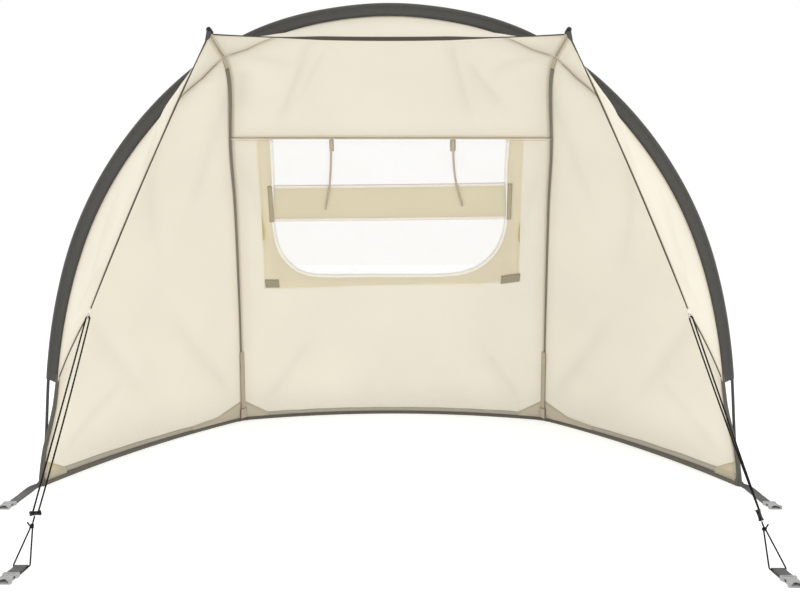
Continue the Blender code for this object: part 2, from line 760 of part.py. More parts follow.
def build_hem(canopy):
    """The dark tape along the foot of the side and back walls."""
    front, back = canopy.arch_seam[0], canopy.rear_seam[0]
    for side, word in ((1, "right"), (-1, "left")):
        line = bulged(front, back, SIDE_BULGE, HEM_STEPS, SIDE_OUT)
        canopy.cloth(f"hem_{word}", mirrored(strip(line), side), HEM_THICKNESS, "hem tape")
    line = bulged(mirrored(back, -1), back, BACK_BULGE, BACK_STEPS, BACK_OUT)
    canopy.cloth("hem_back", strip(line), HEM_THICKNESS, "hem tape")


def strip(line):
    """An upright strip on the floor along a line, drawn back a little at its ends."""
    low, high = line.copy(), line.copy()
    low[:, 2], high[:, 2] = 0.0, HEM_HEIGHT
    return trimmed(np.array([low, high]), left=HEM_END, right=HEM_END)


def shortened(line, first, last):
    """The line with its ends drawn back by the given lengths."""
    line = np.array(line, float)
    line[0] += unit(line[1] - line[0]) * first
    line[-1] += unit(line[-2] - line[-1]) * last
    return line


def build_edges(canopy):
    """The dark binding on the free edges of the visor and of the side walls."""
    top = shortened(canopy.visor_top_edge, FRONT_EDGE_END, FRONT_EDGE_END)
    canopy.tube("front_edge_top", top, EDGE_RADIUS, "webbing", sides=1)
    for side, word in ((1, "right"), (-1, "left")):
        line = shortened(canopy.visor_side_edge, EDGE_ARCH_END, EDGE_TIP_END)
        canopy.tube(f"front_edge_{word}", mirrored(line, side), EDGE_RADIUS, "webbing", sides=1)
        seam = canopy.arch_seam[:canopy.sleeve_start + 1]
        rod = canopy.arch_rod[:canopy.sleeve_start + 1]
        away = (rod - seam) / np.linalg.norm(rod - seam, axis=1)[:, None]
        line = shortened(seam + away * GAP, LOWER_EDGE_FOOT_END, LOWER_EDGE_TOP_END)
        canopy.tube(f"lower_edge_{word}", mirrored(line, side), EDGE_RADIUS, "webbing", sides=1)


def block(canopy, name, place, finish, bevel=0.001):
    """A rounded box; place turns a corner of the unit cube into a point in space."""
    mesh = bpy.data.meshes.new(name)
    bm = bmesh.new()
    bmesh.ops.create_cube(bm, size=1.0)
    for vert in bm.verts:
        vert.co = Vector(place(*vert.co))
    bm.normal_update()
    bmesh.ops.recalc_face_normals(bm, faces=bm.faces)
    bm.to_mesh(mesh)
    bm.free()
    made = canopy.add(name, mesh, finish)
    if bevel:
        soft = made.modifiers.new("Rounded", "BEVEL")
        soft.width = bevel
        soft.segments = 1
        soft.limit_method = "NONE"
    return made


def cutter(canopy, name, mesh, target, operation="DIFFERENCE"):
    """A hidden tool solid that cuts a piece or is joined to it."""
    tool = bpy.data.objects.new(name, mesh)
    tool.parent = canopy.base
    tool.hide_render = True
    tool.display_type = "WIRE"
    canopy.cutters.objects.link(tool)
    step = target.modifiers.new(name, "BOOLEAN")
    step.operation = operation
    step.object = tool
    return tool


def solid_mesh(name, make, place):
    """A primitive's mesh with each point moved by place."""
    mesh = bpy.data.meshes.new(name)
    bm = bmesh.new()
    make(bm)
    for vert in bm.verts:
        vert.co = Vector(place(*vert.co))
    bm.normal_update()
    bmesh.ops.recalc_face_normals(bm, faces=bm.faces)
    bm.to_mesh(mesh)
    bm.free()
    return mesh


def build_foot(canopy, name, rod, out, near, side):
    """A webbing cup at the hem that holds a rod's foot; it leans as the rod does."""
    base = rod[0] + (rod[1] - rod[0]) * (-rod[0][2] / (rod[1][2] - rod[0][2]))
    lean = (rod[1] - rod[0]) / (rod[1][2] - rod[0][2])
    out = unit([out[0], out[1], 0.0])
    along = np.array([-out[1], out[0], 0.0])

    def stand(a, b, z):
        return mirrored(base + out * a + along * b + lean * z, side)

    def body(x, y, z):
        a = -near if x < 0 else FOOT_FAR
        return stand(a, 2 * y * FOOT_HALF, (z + 0.5) * FOOT_HEIGHT)

    def bore(x, y, z):
        return stand(x, y, FOOT_FLOOR + (z + 0.5) * FOOT_HEIGHT)

    def round_bar(bm):
        bmesh.ops.create_cone(bm, cap_ends=True, segments=12, radius1=FOOT_BORE,
                              radius2=FOOT_BORE, depth=1.0)

    cup = block(canopy, name, body, "webbing", bevel=0.0)
    cutter(canopy, f"{name}_bore", solid_mesh(f"{name}_bore", round_bar, bore), cup)


def build_feet(canopy):
    """Cups for the rods' feet: two at the front corners, two at the back corners."""
    corner_out = canopy.arch_rod[0] - canopy.arch_seam[0]
    rear_out = canopy.rear_rod[0] - canopy.rear_seam[0]
    for side, word in ((1, "right"), (-1, "left")):
        build_foot(canopy, f"corner_cup_{word}", canopy.arch_rod, corner_out,
                   CORNER_MARGIN - rod_depth() - 3 * GAP, side)
        build_foot(canopy, f"rear_cup_{word}", canopy.rear_rod, rear_out, REAR_CUP_NEAR, side)


def build_crossings(canopy):
    """A short cord tie round the arch rod and the rear rod where they cross."""
    k, r = canopy.crossing_index, canopy.rear_crossing
    top, under = canopy.arch_rod[k], canopy.rear_rod[r]
    middle, stack = (top + under) / 2, unit(top - under)
    arch_way = unit(canopy.arch_rod[k + 1] - canopy.arch_rod[k - 1])
    rear_way = unit(canopy.rear_rod[r + 1] - canopy.rear_rod[r - 1])
    skew = unit(arch_way - rear_way)
    ring = [middle + stack * TIE_TALL * math.cos(a) + skew * TIE_WIDE * math.sin(a)
            for a in np.linspace(0.0, 2 * math.pi, 16, endpoint=False)]
    for side, word in ((1, "right"), (-1, "left")):
        canopy.tube(f"crossing_tie_{word}", mirrored(ring, side), TIE_CORD, "cord",
                    closed=True, sides=1)


def build_tip_caps(canopy):
    """A turned end cap on the front end of each rear rod."""
    profile = ((0.0, CAP_LENGTH), (CAP_RADIUS, CAP_LENGTH), (CAP_RADIUS, 0.0),
               (FOOT_BORE, 0.0), (FOOT_BORE, CAP_DEPTH), (0.0, CAP_DEPTH))
    along = unit(canopy.rear_rod[-1] - canopy.rear_rod[-2])
    place = canopy.rear_rod[-1] - along * (CAP_DEPTH - GAP)
    for side, word in ((1, "right"), (-1, "left")):
        mesh = bpy.data.meshes.new(f"tip_cap_{word}")
        points = [(x, 0.0, z) for x, z in profile]
        mesh.from_pydata(points, [(i, i + 1) for i in range(len(points) - 1)], [])
        cap = canopy.add(f"tip_cap_{word}", mesh, "black plastic")
        cap.location = Vector(mirrored(place, side))
        way = Vector(mirrored(along, side))
        cap.rotation_mode = "QUATERNION"
        cap.rotation_quaternion = way.to_track_quat("Z", "Y")
        turn = cap.modifiers.new("Turned", "SCREW")
        turn.steps = turn.render_steps = 12
        turn.use_merge_vertices = True
        turn.merge_threshold = 0.00001


class Guy:
    """One guy line: its axes at the pull point, and the places along it."""

    def __init__(self, word):
        self.top, self.foot = np.array(PULL_POINT), np.array(GUY_FEET[word])
        self.run = self.foot - self.top
        self.way = unit(self.run)
        self.across = unit(np.cross(self.way, (0.0, -0.6, 0.8)))
        self.third = np.cross(self.way, self.across)

    def at(self, share):
        return self.top + self.run * share


def build_guy(canopy, side, word):
    """Pull tab, doubled cord, adjuster, knotted loop and webbing foot on one side."""
    guy = Guy(word)
    ring_centre = guy.top + guy.way * (EDGE_RADIUS + GAP + RING_RADIUS + RING_WIRE)
    ring = [ring_centre + RING_RADIUS * (guy.way * math.cos(a) + guy.third * math.sin(a))
            for a in np.linspace(0.0, 2 * math.pi, 14, endpoint=False)]
    slack = CORD_BEND - CORD_RADIUS - RING_WIRE - GAP
    bend = ring_centre + guy.way * (RING_RADIUS + slack)
    top_of_adjuster = guy.at(ADJUSTER_SHARE) - guy.way * (ADJUSTER_LENGTH / 2 + GAP)
    turn = [bend + CORD_BEND * (guy.across * math.cos(a) - guy.way * math.sin(a))
            for a in np.linspace(0.0, math.pi, 9)]
    apart = guy.across * STRAND_HALF
    line = [top_of_adjuster + apart, *turn, top_of_adjuster - apart]
    knot = guy.at(KNOT_SHARE)
    run_start = guy.at(ADJUSTER_SHARE) + guy.way * (ADJUSTER_LENGTH / 2 + GAP)
    sideways = np.array([1.0, 0.0, 0.0])
    fold = guy.foot.copy()
    fold[2] = FOLD_RADIUS + (WEBBING_THICKNESS + GAP) / 2
    rise = unit(knot - fold)
    reach = WEBBING_WIDTH / 2 + CORD_RADIUS + LOOP_CLEAR
    loop = []
    for sign in (1, -1):
        leg = [knot + sideways * sign * LOOP_AT_KNOT[0] + guy.way * LOOP_AT_KNOT[1],
               fold + sideways * sign * (reach + LOOP_SPREAD) + rise * LOOP_RISE[0],
               fold + sideways * sign * reach + rise * LOOP_RISE[1],
               fold + sideways * sign * (reach - LOOP_TUCK)]
        loop += leg if sign == 1 else leg[::-1]
    canopy.tube(f"pull_tab_{word}", mirrored(ring, side), RING_WIRE, "canopy cloth",
                closed=True, sides=1)
    canopy.tube(f"guy_line_{word}", mirrored(line, side), CORD_RADIUS, "cord", sides=1)

    def bar(x, y, z):
        return mirrored(guy.at(ADJUSTER_SHARE) + guy.way * x * ADJUSTER_LENGTH
                        + guy.across * y * ADJUSTER_WIDTH
                        + guy.third * z * ADJUSTER_THICKNESS, side)

    block(canopy, f"guy_adjuster_{word}", bar, "black plastic")
    build_loop(canopy, word, side, knot, run_start, loop)
    build_fold(canopy, word, side, fold)


def build_loop(canopy, word, side, knot, run_start, loop):
    """The knot with its run from the adjuster and its loop to the webbing, in one piece."""
    def ball(bm):
        bmesh.ops.create_uvsphere(bm, u_segments=10, v_segments=7, radius=KNOT_RADIUS)

    mesh = solid_mesh(f"guy_loop_{word}", ball,
                      lambda x, y, z: mirrored(knot + np.array([x, y, z]), side))
    made = canopy.add(f"guy_loop_{word}", mesh, "cord")
    for name, line in (("run", [run_start, knot]), ("strands", loop)):
        tube = canopy.as_mesh(canopy.tube(f"guy_{name}_{word}", mirrored(line, side),
                                          CORD_RADIUS, "cord", sides=1))
        step = made.modifiers.new(name, "BOOLEAN")
        step.operation = "UNION"
        step.object = tube
        tube.hide_render = True
        tube.display_type = "WIRE"
        canopy.parts.objects.unlink(tube)
        canopy.cutters.objects.link(tube)


def build_fold(canopy, word, side, fold):
    """Webbing folded round the cord, with both legs running forward to the buckle."""
    arc = [(FOLD_RADIUS * math.sin(a), -FOLD_RADIUS * math.cos(a))
           for a in np.linspace(0.0, math.pi, 7)]
    profile = [(-FOLD_LENGTH, -FOLD_RADIUS), *arc, (-FOLD_LENGTH, FOLD_RADIUS)]
    rows = np.array([[fold + np.array([x, y, z]) for x in (-WEBBING_WIDTH / 2, WEBBING_WIDTH / 2)]
                     for y, z in profile])
    canopy.cloth(f"guy_webbing_{word}", mirrored(rows, side), WEBBING_THICKNESS, "webbing")
    rear = fold + np.array([0.0, -FOLD_LENGTH - GAP, 0.0])
    build_buckle(canopy, f"guy_buckle_{word}", rear, side)


def build_buckle(canopy, name, rear, side):
    """The socket half of a side-release buckle, lying on the floor with its mouth forward."""
    def body(x, y, z):
        taper = 1.0 if y > 0 else BUCKLE_TAPER
        return mirrored([rear[0] + x * BUCKLE_WIDTH * taper,
                         rear[1] + (y - 0.5) * BUCKLE_LENGTH, (z + 0.5) * BUCKLE_HEIGHT], side)

    made = block(canopy, name, body, "grey plastic", bevel=BUCKLE_ROUND)

    def box(bm):
        bmesh.ops.create_cube(bm, size=1.0)

    def mouth(x, y, z):
        wide, deep, tall = BUCKLE_MOUTH
        return mirrored([rear[0] + x * wide,
                         rear[1] - BUCKLE_LENGTH + BUCKLE_MOUTH_CENTRE + y * deep,
                         BUCKLE_HEIGHT / 2 + z * tall], side)

    def window(edge):
        wide, deep, tall = BUCKLE_WINDOW
        return lambda x, y, z: mirrored(
            [rear[0] + edge * BUCKLE_WIDTH / 2 + x * wide, rear[1] - BUCKLE_WINDOW_BACK + y * deep,
             BUCKLE_HEIGHT / 2 + z * tall], side)

    cutter(canopy, f"{name}_mouth", solid_mesh(f"{name}_mouth", box, mouth), made)
    for edge in (1, -1):
        tool = f"{name}_window_{'a' if edge == 1 else 'b'}"
        cutter(canopy, tool, solid_mesh(tool, box, window(edge)), made)


def build_straps(canopy):
    """A webbing strap from each front corner to a buckle on the floor."""
    line = smooth(STRAP_ROUTE, STRAP_STEPS)
    steps = np.gradient(line, axis=0)
    rows = []
    for point, step in zip(line, steps):
        across = unit([-step[1], step[0]]) * WEBBING_WIDTH / 2
        rows.append([[point[0] - across[0], point[1] - across[1], STRAP_LIFT],
                     [point[0] + across[0], point[1] + across[1], STRAP_LIFT]])
    for row, y in ((rows[0], line[0][1]), (rows[-1], line[-1][1])):
        row[0][1] = row[1][1] = y
    end = line[-1]
    for side, word in ((1, "right"), (-1, "left")):
        canopy.cloth(f"corner_strap_{word}", mirrored(rows, side), WEBBING_THICKNESS, "webbing")
        build_buckle(canopy, f"corner_buckle_{word}",
                     np.array([end[0], end[1] - GAP, 0.0]), side)


def build(canopy):
    build_panels(canopy)
    build_window(canopy)
    build_rods(canopy)
    build_arch_sleeve(canopy)
    build_rear_sleeves(canopy)
    build_hem(canopy)
    build_edges(canopy)
    build_feet(canopy)
    build_crossings(canopy)
    build_tip_caps(canopy)
    build_guy(canopy, 1, "right")
    build_guy(canopy, -1, "left")
    build_straps(canopy)


clear_scene()
build(Canopy())
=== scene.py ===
"""Looks of a half-dome canopy for a round hot tub.

Cream cloth panels on bent rods, dark sleeves and tapes, a window with clear panes, guy
lines, webbing and buckles are dressed over the fixed frame of solids.
"""

import math

import bmesh
import bpy
import numpy as np
from mathutils import Matrix, Vector, noise


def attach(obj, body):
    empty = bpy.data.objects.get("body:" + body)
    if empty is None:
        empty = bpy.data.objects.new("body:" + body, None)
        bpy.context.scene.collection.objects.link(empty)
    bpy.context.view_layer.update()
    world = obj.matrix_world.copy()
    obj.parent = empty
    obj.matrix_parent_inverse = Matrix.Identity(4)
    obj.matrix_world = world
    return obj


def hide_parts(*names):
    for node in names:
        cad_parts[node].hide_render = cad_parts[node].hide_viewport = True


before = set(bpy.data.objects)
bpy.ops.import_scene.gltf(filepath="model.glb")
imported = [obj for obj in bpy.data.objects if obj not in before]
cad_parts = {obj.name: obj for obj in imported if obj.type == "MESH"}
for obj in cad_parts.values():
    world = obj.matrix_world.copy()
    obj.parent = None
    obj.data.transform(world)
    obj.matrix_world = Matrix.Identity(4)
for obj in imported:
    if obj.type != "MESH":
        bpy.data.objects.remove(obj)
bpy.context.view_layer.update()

bl_info = {
    "name": "Hot Tub Canopy Looks",
    "version": (1, 0, 0),
    "blender": (4, 5, 0),
    "location": "View3D > Sidebar > Canopy",
    "description": "Dresses a half-dome canopy with cloth, seams, a window, cords and fittings",
    "category": "Object",
}

# Skeleton, in metres, with y = 0 on the line between the front corners
FRONT_LINE_Y = -0.1348
INSIDE = (0.0, 0.0, 0.4)
REAR_INSIDE = (0.0, 0.12, 0.42)
ROD_RADIUS = 0.00375
ARCH_LEAN = math.radians(5.6)
ARCH_OUTLINE = ((0.915, 0.0), (0.895, 0.140), (0.878, 0.295), (0.843, 0.481), (0.783, 0.662),
                (0.684, 0.838), (0.531, 1.009), (0.309, 1.149), (0.119, 1.196), (0.0, 1.2045))
ARCH_NORMAL = np.array([0.0, math.cos(ARCH_LEAN), math.sin(ARCH_LEAN)])
ROD_DEPTH = 0.0052
# The cloth's depth inside the arch's outer edge, by height
SEAM_DEPTHS = ((0.29, 0.0290), (0.62, 0.0340), (1.12, 0.0340), (1.19, 0.0305))
CROSSING_SEAM = 0.018
CORNER_MARGIN = 0.013
SLEEVE_END_HEIGHT = 0.287
CROSSING_X = 0.403
ROD_STACK = 0.0083
REAR_FOOT = (0.547, 0.770, 0.0035)
REAR_BOW = 0.205
REAR_BOW_SHARES = (0.15, 0.3, 0.45, 0.6, 0.74)
ROD_TO_SEAM = 0.0062
TIP = (0.405, -0.212, 1.109)
TIP_DROP = 0.009
PULL_POINT = (0.697, -0.195, 0.4685)
SEAM_HEIGHT = 0.924
CLOTH_FOOT = 0.0045
SIDE_BULGE = 0.036
SIDE_OUT = (1.0, 0.49, 0.0)
BACK_BULGE = 0.115
BACK_OUT = (0.0, 1.0, 0.0)
FRONT_EDGE_SAG = 0.012
VISOR_OUT = (1.0, 0.0, 0.4)
VISOR_PUFF = 0.0135
LOWER_EDGE_BOW = 0.004
SIDE_EDGE_BOW = 0.006

# Steps of the fine cloth, matched along the seams that panels share
FINE = 6
ARCH_LOW, ARCH_SIDE, ARCH_TOP = 4 * FINE, 14 * FINE, 14 * FINE
REAR_WALL, REAR_ROOF, REAR_TIP = 14 * FINE, 4 * FINE, 3 * FINE
VISOR_LOW = 4 * FINE
SIDE_COLUMNS, BACK_COLUMNS, VISOR_COLUMNS = 72, 132, 18

# Thicknesses of the soft sheets, and of the soles under the rods
CLOTH, SLEEVE, FILM, PATCH = 0.0009, 0.0008, 0.0006, 0.0012
WEBBING, CUP, SOLE = 0.0014, 0.0013, 0.0014

# Window opening as x and height, and the halves and heights of the flap, panes and band
OPENING = ((-0.330, 0.917), (-0.352, 0.805), (-0.371, 0.702), (-0.370, 0.640), (-0.358, 0.598),
           (-0.340, 0.571), (-0.313, 0.548), (-0.282, 0.535), (-0.234, 0.529), (-0.120, 0.529),
           (0.0, 0.529), (0.100, 0.529), (0.174, 0.531), (0.230, 0.538), (0.276, 0.555),
           (0.314, 0.584), (0.342, 0.625), (0.354, 0.668), (0.356, 0.705), (0.340, 0.805),
           (0.322, 0.917))
FLAP_HALVES, FLAP_LOW, FLAP_TOP, FLAP_SLANT = (0.420, 0.414), 0.4835, 0.9205, 0.025
PANE_HALF, PANE_LOW, PANE_TOP = 0.388, 0.502, 0.911
BAND_LOW, BAND_TOP, BAND_SLANT = 0.707, 0.808, 0.010
BAND_ENDS = {"right": 0.3775, "left": 0.3885}
# Hook-and-loop patches: ends as x, low edge at each end, and height
PATCHES = {"right": (0.362, 0.422, 0.502, 0.511, 0.027),
           "left": (-0.424, -0.379, 0.490, 0.490, 0.027)}
# Ties: shares of the wall's width from its middle, and heights
TIE_ROUTES = {"right": ((0.194, 0.9205), (0.200, 0.843), (0.227, 0.753)),
              "left": ((0.186, 0.9205), (0.199, 0.805), (0.215, 0.743))}
TIE_TABS = {"right": 0.0075, "left": 0.0060}
TIE_TAB_HEIGHTS = (0.918, 0.892)
# How far the window's layers stand off the wall
LAYER = 0.0020

# Seam tapes and sleeves of the rear rods, by the heights between which they run
# The rear tapes' tones are painted shade: dark of the sleeve behind the cloth, pale of the bare rod
DARK_TAPE, PALE_TAPE, PALE_TAPE_TOP = (0.262, 1.060), (0.049, 0.2615), 1.0605
REAR_SLEEVE = (0.27, 1.050)
# Half widths of the seam tapes; two where a tape widens or narrows along its run
DARK_HALVES, LOW_HALF, HIGH_HALF = (0.0060, 0.0085), 0.0092, 0.0072
ARCH_HALF, TIP_HALVES, ROOF_HALF, POCKET_HALF = 0.0022, (0.0032, 0.0012), 0.0050, 0.0135
# The grey strip below the crown, a painted shadow: how far it reaches to each side, and where it
# dies out
CROWN_SHADOW, CROWN_FADE = 0.245, 0.12
# Sleeves in section: where the neck begins, the radius round the rod and the free gap inside,
# and how far the rear sleeve's sewn edge reaches
ARCH_FOLD, REAR_FOLD = (0.0090, 0.0048, 0.0004), (0.0050, 0.0052, 0.0002)
REAR_FIN = 0.0056

# Bindings of the visor: half widths at the ends and in the middle, the roll of the middle,
# and half widths along the side edges
FRONT_HALVES, FRONT_ROLL = (0.0022, 0.0054), math.radians(34)
VISOR_HALVES = (0.0017, 0.0019, 0.0030, 0.0033)

# Hems: thicknesses, and how much wider they grow at the front
HEM_BAND, HEM_STRIP = 0.0024, 0.0010
HEM_GROWTH, STRIP_GROWTH = 0.36, 0.12
# Corner patches: their lowest edge, and how far they lie inside the wall's middle
PATCH_FOOT, PATCH_LIFT = 0.0135, 0.0013
# Their tops: distances along the foot, and how high the patch stands there
REAR_SIDE_PATCH = ((0.004, 0.078), (0.123, 0.036), (0.240, 0.028))
REAR_BACK_PATCH = ((0.004, 0.078), (0.092, 0.027))
FRONT_PATCH = ((0.010, 0.064), (0.085, 0.029))
# The rear rods' pockets, from height to height
POCKET = (0.0145, 0.049)

# Guy lines
GUY_FEET = {"right": (0.749, -0.536, 0.0062), "left": (0.707, -0.522, 0.0062)}
ADJUSTER_SHARE, KNOT_SHARE = 0.822, 0.868
ADJUSTER = (0.0225, 0.0105, 0.006)
HOLE_SHARES = (0.30, -0.20)
# How far the right line's two strands are turned round it, and the left slider's slants
STRAND_TURN, SLIDER_SLANT, SLIDER_TURN = math.radians(64), math.radians(26), math.radians(46)
CORD_RADIUS, LOOP_CORD, KNOT_CORD, THIN_CORD, RING_CORD = 0.0018, 0.0016, 0.0015, 0.0012, 0.0009
# Pull loop: its middle below the visor's edge and its radii, then the cord's bend over it
PULL_MIDDLE, PULL_RADII, CORD_BEND, BEND_RADIUS = 0.0078, (0.0066, 0.0054), 0.0146, 0.0044
# Knot to webbing: how far the loop's legs stand off the webbing, and the knot's size
LEG_GAP, KNOT_SIZE = 0.0012, 0.00125
FOLD_RADIUS, FOLD_LENGTH, WEBBING_WIDTH = 0.0028, 0.036, 0.025

# Cord round the crossing of the rods: its radii, its spread along the rods and its turns
TIE_RADII, TIE_SPREAD, TIE_TURNS = (0.0104, 0.0088), 0.0024, 2.75
# Tip caps: radius and length, domed end by steps of shrinking and rising, bore, and overlap
CAP, CAP_DOME = (0.0060, 0.0170), ((0.86, 0.0012), (0.72, 0.0009), (0.5, 0.0004))
CAP_BORE, CAP_BACK = 0.0041, 0.0137
TIP_RING = 0.0036

# Feet, straps and buckles; a cup's inside is half its depth and half its width
CUP_HEIGHTS = (0.0006, 0.006, 0.012, 0.018, 0.0232, 0.0258)
CUP_INSIDE = (0.0056, 0.0060)
STRAP_ROUTE = ((0.911, -0.0050), (0.9185, -0.060), (0.917, -0.150))
STRAP_TURN = math.radians(62)
GUSSET = ((0.9055, -0.0110, 0.0012), (0.9220, -0.0250, 0.0012))
GUSSET_HEIGHT = 0.023
CORNER_BUCKLE = (0.917, -0.1503, 0.0)
# A buckle socket's width, length and height, half its mouth's width, and the mouth's heights
SOCKET, MOUTH, MOUTH_HEIGHTS = (0.0300, 0.0360, 0.0085), 0.0110, (0.0019, 0.0066)

FLOOR_GLOW = 0.62
# Soft lamps: place, aim, size, power and colour
LAMPS = {"key_panel": ((0.5, -2.7, 3.0), (0.0, 0.1, 0.5), 2.4, 30.0, (1.0, 0.985, 0.955)),
         "back_panel": ((-0.9, 3.2, 2.4), (0.0, 0.2, 0.6), 2.6, 44.0, (1.0, 0.98, 0.95)),
         "side_panel_right": ((3.0, -0.3, 1.6), (0.0, 0.1, 0.6), 1.8, 25.0, (1.0, 0.985, 0.96)),
         "side_panel_left": ((-3.0, -0.3, 1.6), (0.0, 0.1, 0.6), 1.8, 22.0, (1.0, 0.985, 0.96))}

SIDES = ((1, "right"), (-1, "left"))


def unit(vector):
    vector = np.asarray(vector, float)
    return vector / np.linalg.norm(vector, axis=-1, keepdims=True)


def mirrored(points, side):
    return np.asarray(points, float) * np.array([side, 1.0, 1.0])


def tangents(line):
    return unit(np.gradient(line, axis=0))


def square_to(vectors, along):
    """Unit vectors left when the part along another direction is taken away."""
    return unit(vectors - (vectors * along).sum(axis=-1, keepdims=True) * along)


def lengths_along(points):
    """How far each point of a line lies from its start, along the line."""
    return np.concatenate([[0.0], np.cumsum(np.linalg.norm(np.diff(points, axis=0), axis=1))])


def spaced(marks, counts):
    """Values spread evenly from mark to mark, by the number of steps between each two."""
    parts = [np.linspace(a, b, n + 1)[1:] for a, b, n in zip(marks, marks[1:], counts)]
    return np.concatenate([marks[:1], *parts])


def arc(first, second, start, end, count):
    """Points on an arc, from its two half axes and the angles where it starts and ends."""
    turn = np.linspace(start, end, count)[:, None]
    return np.array(first) * np.cos(turn) + np.array(second) * np.sin(turn)


class Path:
    """A line in space that is read by the share of its length."""

    def __init__(self, points):
        self.points = np.array(points, float)
        self.along = lengths_along(self.points)
        self.length = self.along[-1]

    def at(self, shares):
        want = np.asarray(shares, float) * self.length
        return np.stack([np.interp(want, self.along, column) for column in self.points.T], -1)

    def share_where(self, axis, value):
        column = self.points[:, axis]
        i = int(np.nonzero(np.diff(np.sign(column - value)))[0][0])
        part = (value - column[i]) / (column[i + 1] - column[i])
        return (self.along[i] + part * (self.along[i + 1] - self.along[i])) / self.length

    def share_near(self, point):
        gaps = np.linalg.norm(self.points - point, axis=1)
        return self.along[int(gaps.argmin())] / self.length


def smooth(points, steps=24):
    """A natural cubic spline through the points, with the given steps between neighbours."""
    p = np.array(points, float)
    h = np.diff(lengths_along(p))
    n = len(p)
    system, right = np.zeros((n, n)), np.zeros_like(p)
    system[0, 0] = system[-1, -1] = 1.0
    for i in range(1, n - 1):
        system[i, i - 1:i + 2] = h[i - 1], 2 * (h[i - 1] + h[i]), h[i]
        right[i] = 6 * ((p[i + 1] - p[i]) / h[i] - (p[i] - p[i - 1]) / h[i - 1])
    bend = np.linalg.solve(system, right)
    out = []
    for i in range(n - 1):
        for b in np.linspace(0.0, 1.0, steps, endpoint=False):
            a = 1 - b
            curve = (a ** 3 - a) * bend[i] + (b ** 3 - b) * bend[i + 1]
            out.append(a * p[i] + b * p[i + 1] + curve * h[i] ** 2 / 6)
    return np.array([*out, p[-1]])


def bulged(start, end, bulge, steps, away):
    """A shallow arc between two points that stands off their chord by the bulge."""
    share = np.linspace(0.0, 1.0, steps + 1)[:, None]
    chord = np.asarray(start, float) + share * (np.asarray(end, float) - np.asarray(start, float))
    return chord + 4 * bulge * share * (1 - share) * unit(away)


def arch_inset(depth):
    """A line inside the arch's outer edge, by a depth or by one depth for each point."""
    left = [(-x, up) for x, up in reversed(ARCH_OUTLINE[:-1])]
    flat = smooth([*ARCH_OUTLINE, *left])
    outer = np.stack([flat[:, 0], -flat[:, 1] * math.sin(ARCH_LEAN),
                      flat[:, 1] * math.cos(ARCH_LEAN)], axis=1)
    across = unit(np.cross(np.gradient(outer, axis=0), ARCH_NORMAL))
    across *= np.sign((across * (np.array(INSIDE) - outer)).sum(axis=1))[:, None]
    return Path(outer + across * np.broadcast_to(depth, len(outer))[:, None])


def front_seam():
    """Where the cloth ends at the arch: on the sleeve, and close to the bare rod at the corner."""
    heights = arch_inset(0.0).points[:, 2]
    share = np.clip(heights / SLEEVE_END_HEIGHT, 0.0, 1.0)
    depth = np.interp(heights, *zip(*SEAM_DEPTHS))
    return arch_inset(CORNER_MARGIN + (depth - CORNER_MARGIN) * share * share * (3 - 2 * share))


def crossing_point(rod):
    """Centre of the rear rod where it passes under the arch rod."""
    share = rod.share_where(0, CROSSING_X)
    here = rod.at(share)
    tangent = unit(rod.at(share + 0.002) - rod.at(share - 0.002))
    across = np.cross(tangent, ARCH_NORMAL)
    return here + unit(across * np.sign(across @ (np.array(INSIDE) - here))) * ROD_STACK


def rear_rod_path(crossing):
    """The right rear rod: a bowed line from its foot, under the arch, to the visor's tip."""
    foot, tip = np.array(REAR_FOOT), np.array(TIP)
    chord = tip - foot
    out = np.cross(unit(chord), (1.0, 0.0, 0.0))
    out = unit(out) * np.sign(out[2])
    body = [foot + s * chord + REAR_BOW * math.sin(math.pi * s) * out for s in REAR_BOW_SHARES]
    slope = (crossing[0] - foot[0]) / (crossing[1] - foot[1])
    for point in body:
        point[0] = foot[0] + slope * (point[1] - foot[1])
    return Path(smooth([foot, *body, crossing, tip]))


def drawn_in(path, middle, distance):
    """The line moved square to itself towards a point inside, by a distance."""
    to_middle = square_to(np.array(middle) - path.points, tangents(path.points))
    return Path(path.points + to_middle * distance)


def coons(left, right, bottom, top):
    """A patch of cloth stretched between four edges that meet at its corners."""
    v = np.linspace(0.0, 1.0, len(left))[:, None, None]
    u = np.linspace(0.0, 1.0, len(bottom))[None, :, None]
    across = (1 - u) * left[:, None] + u * right[:, None]
    along = (1 - v) * bottom[None] + v * top[None]
    corners = ((1 - u) * (1 - v) * bottom[0] + u * (1 - v) * bottom[-1]
               + (1 - u) * v * top[0] + u * v * top[-1])
    return across + along - corners


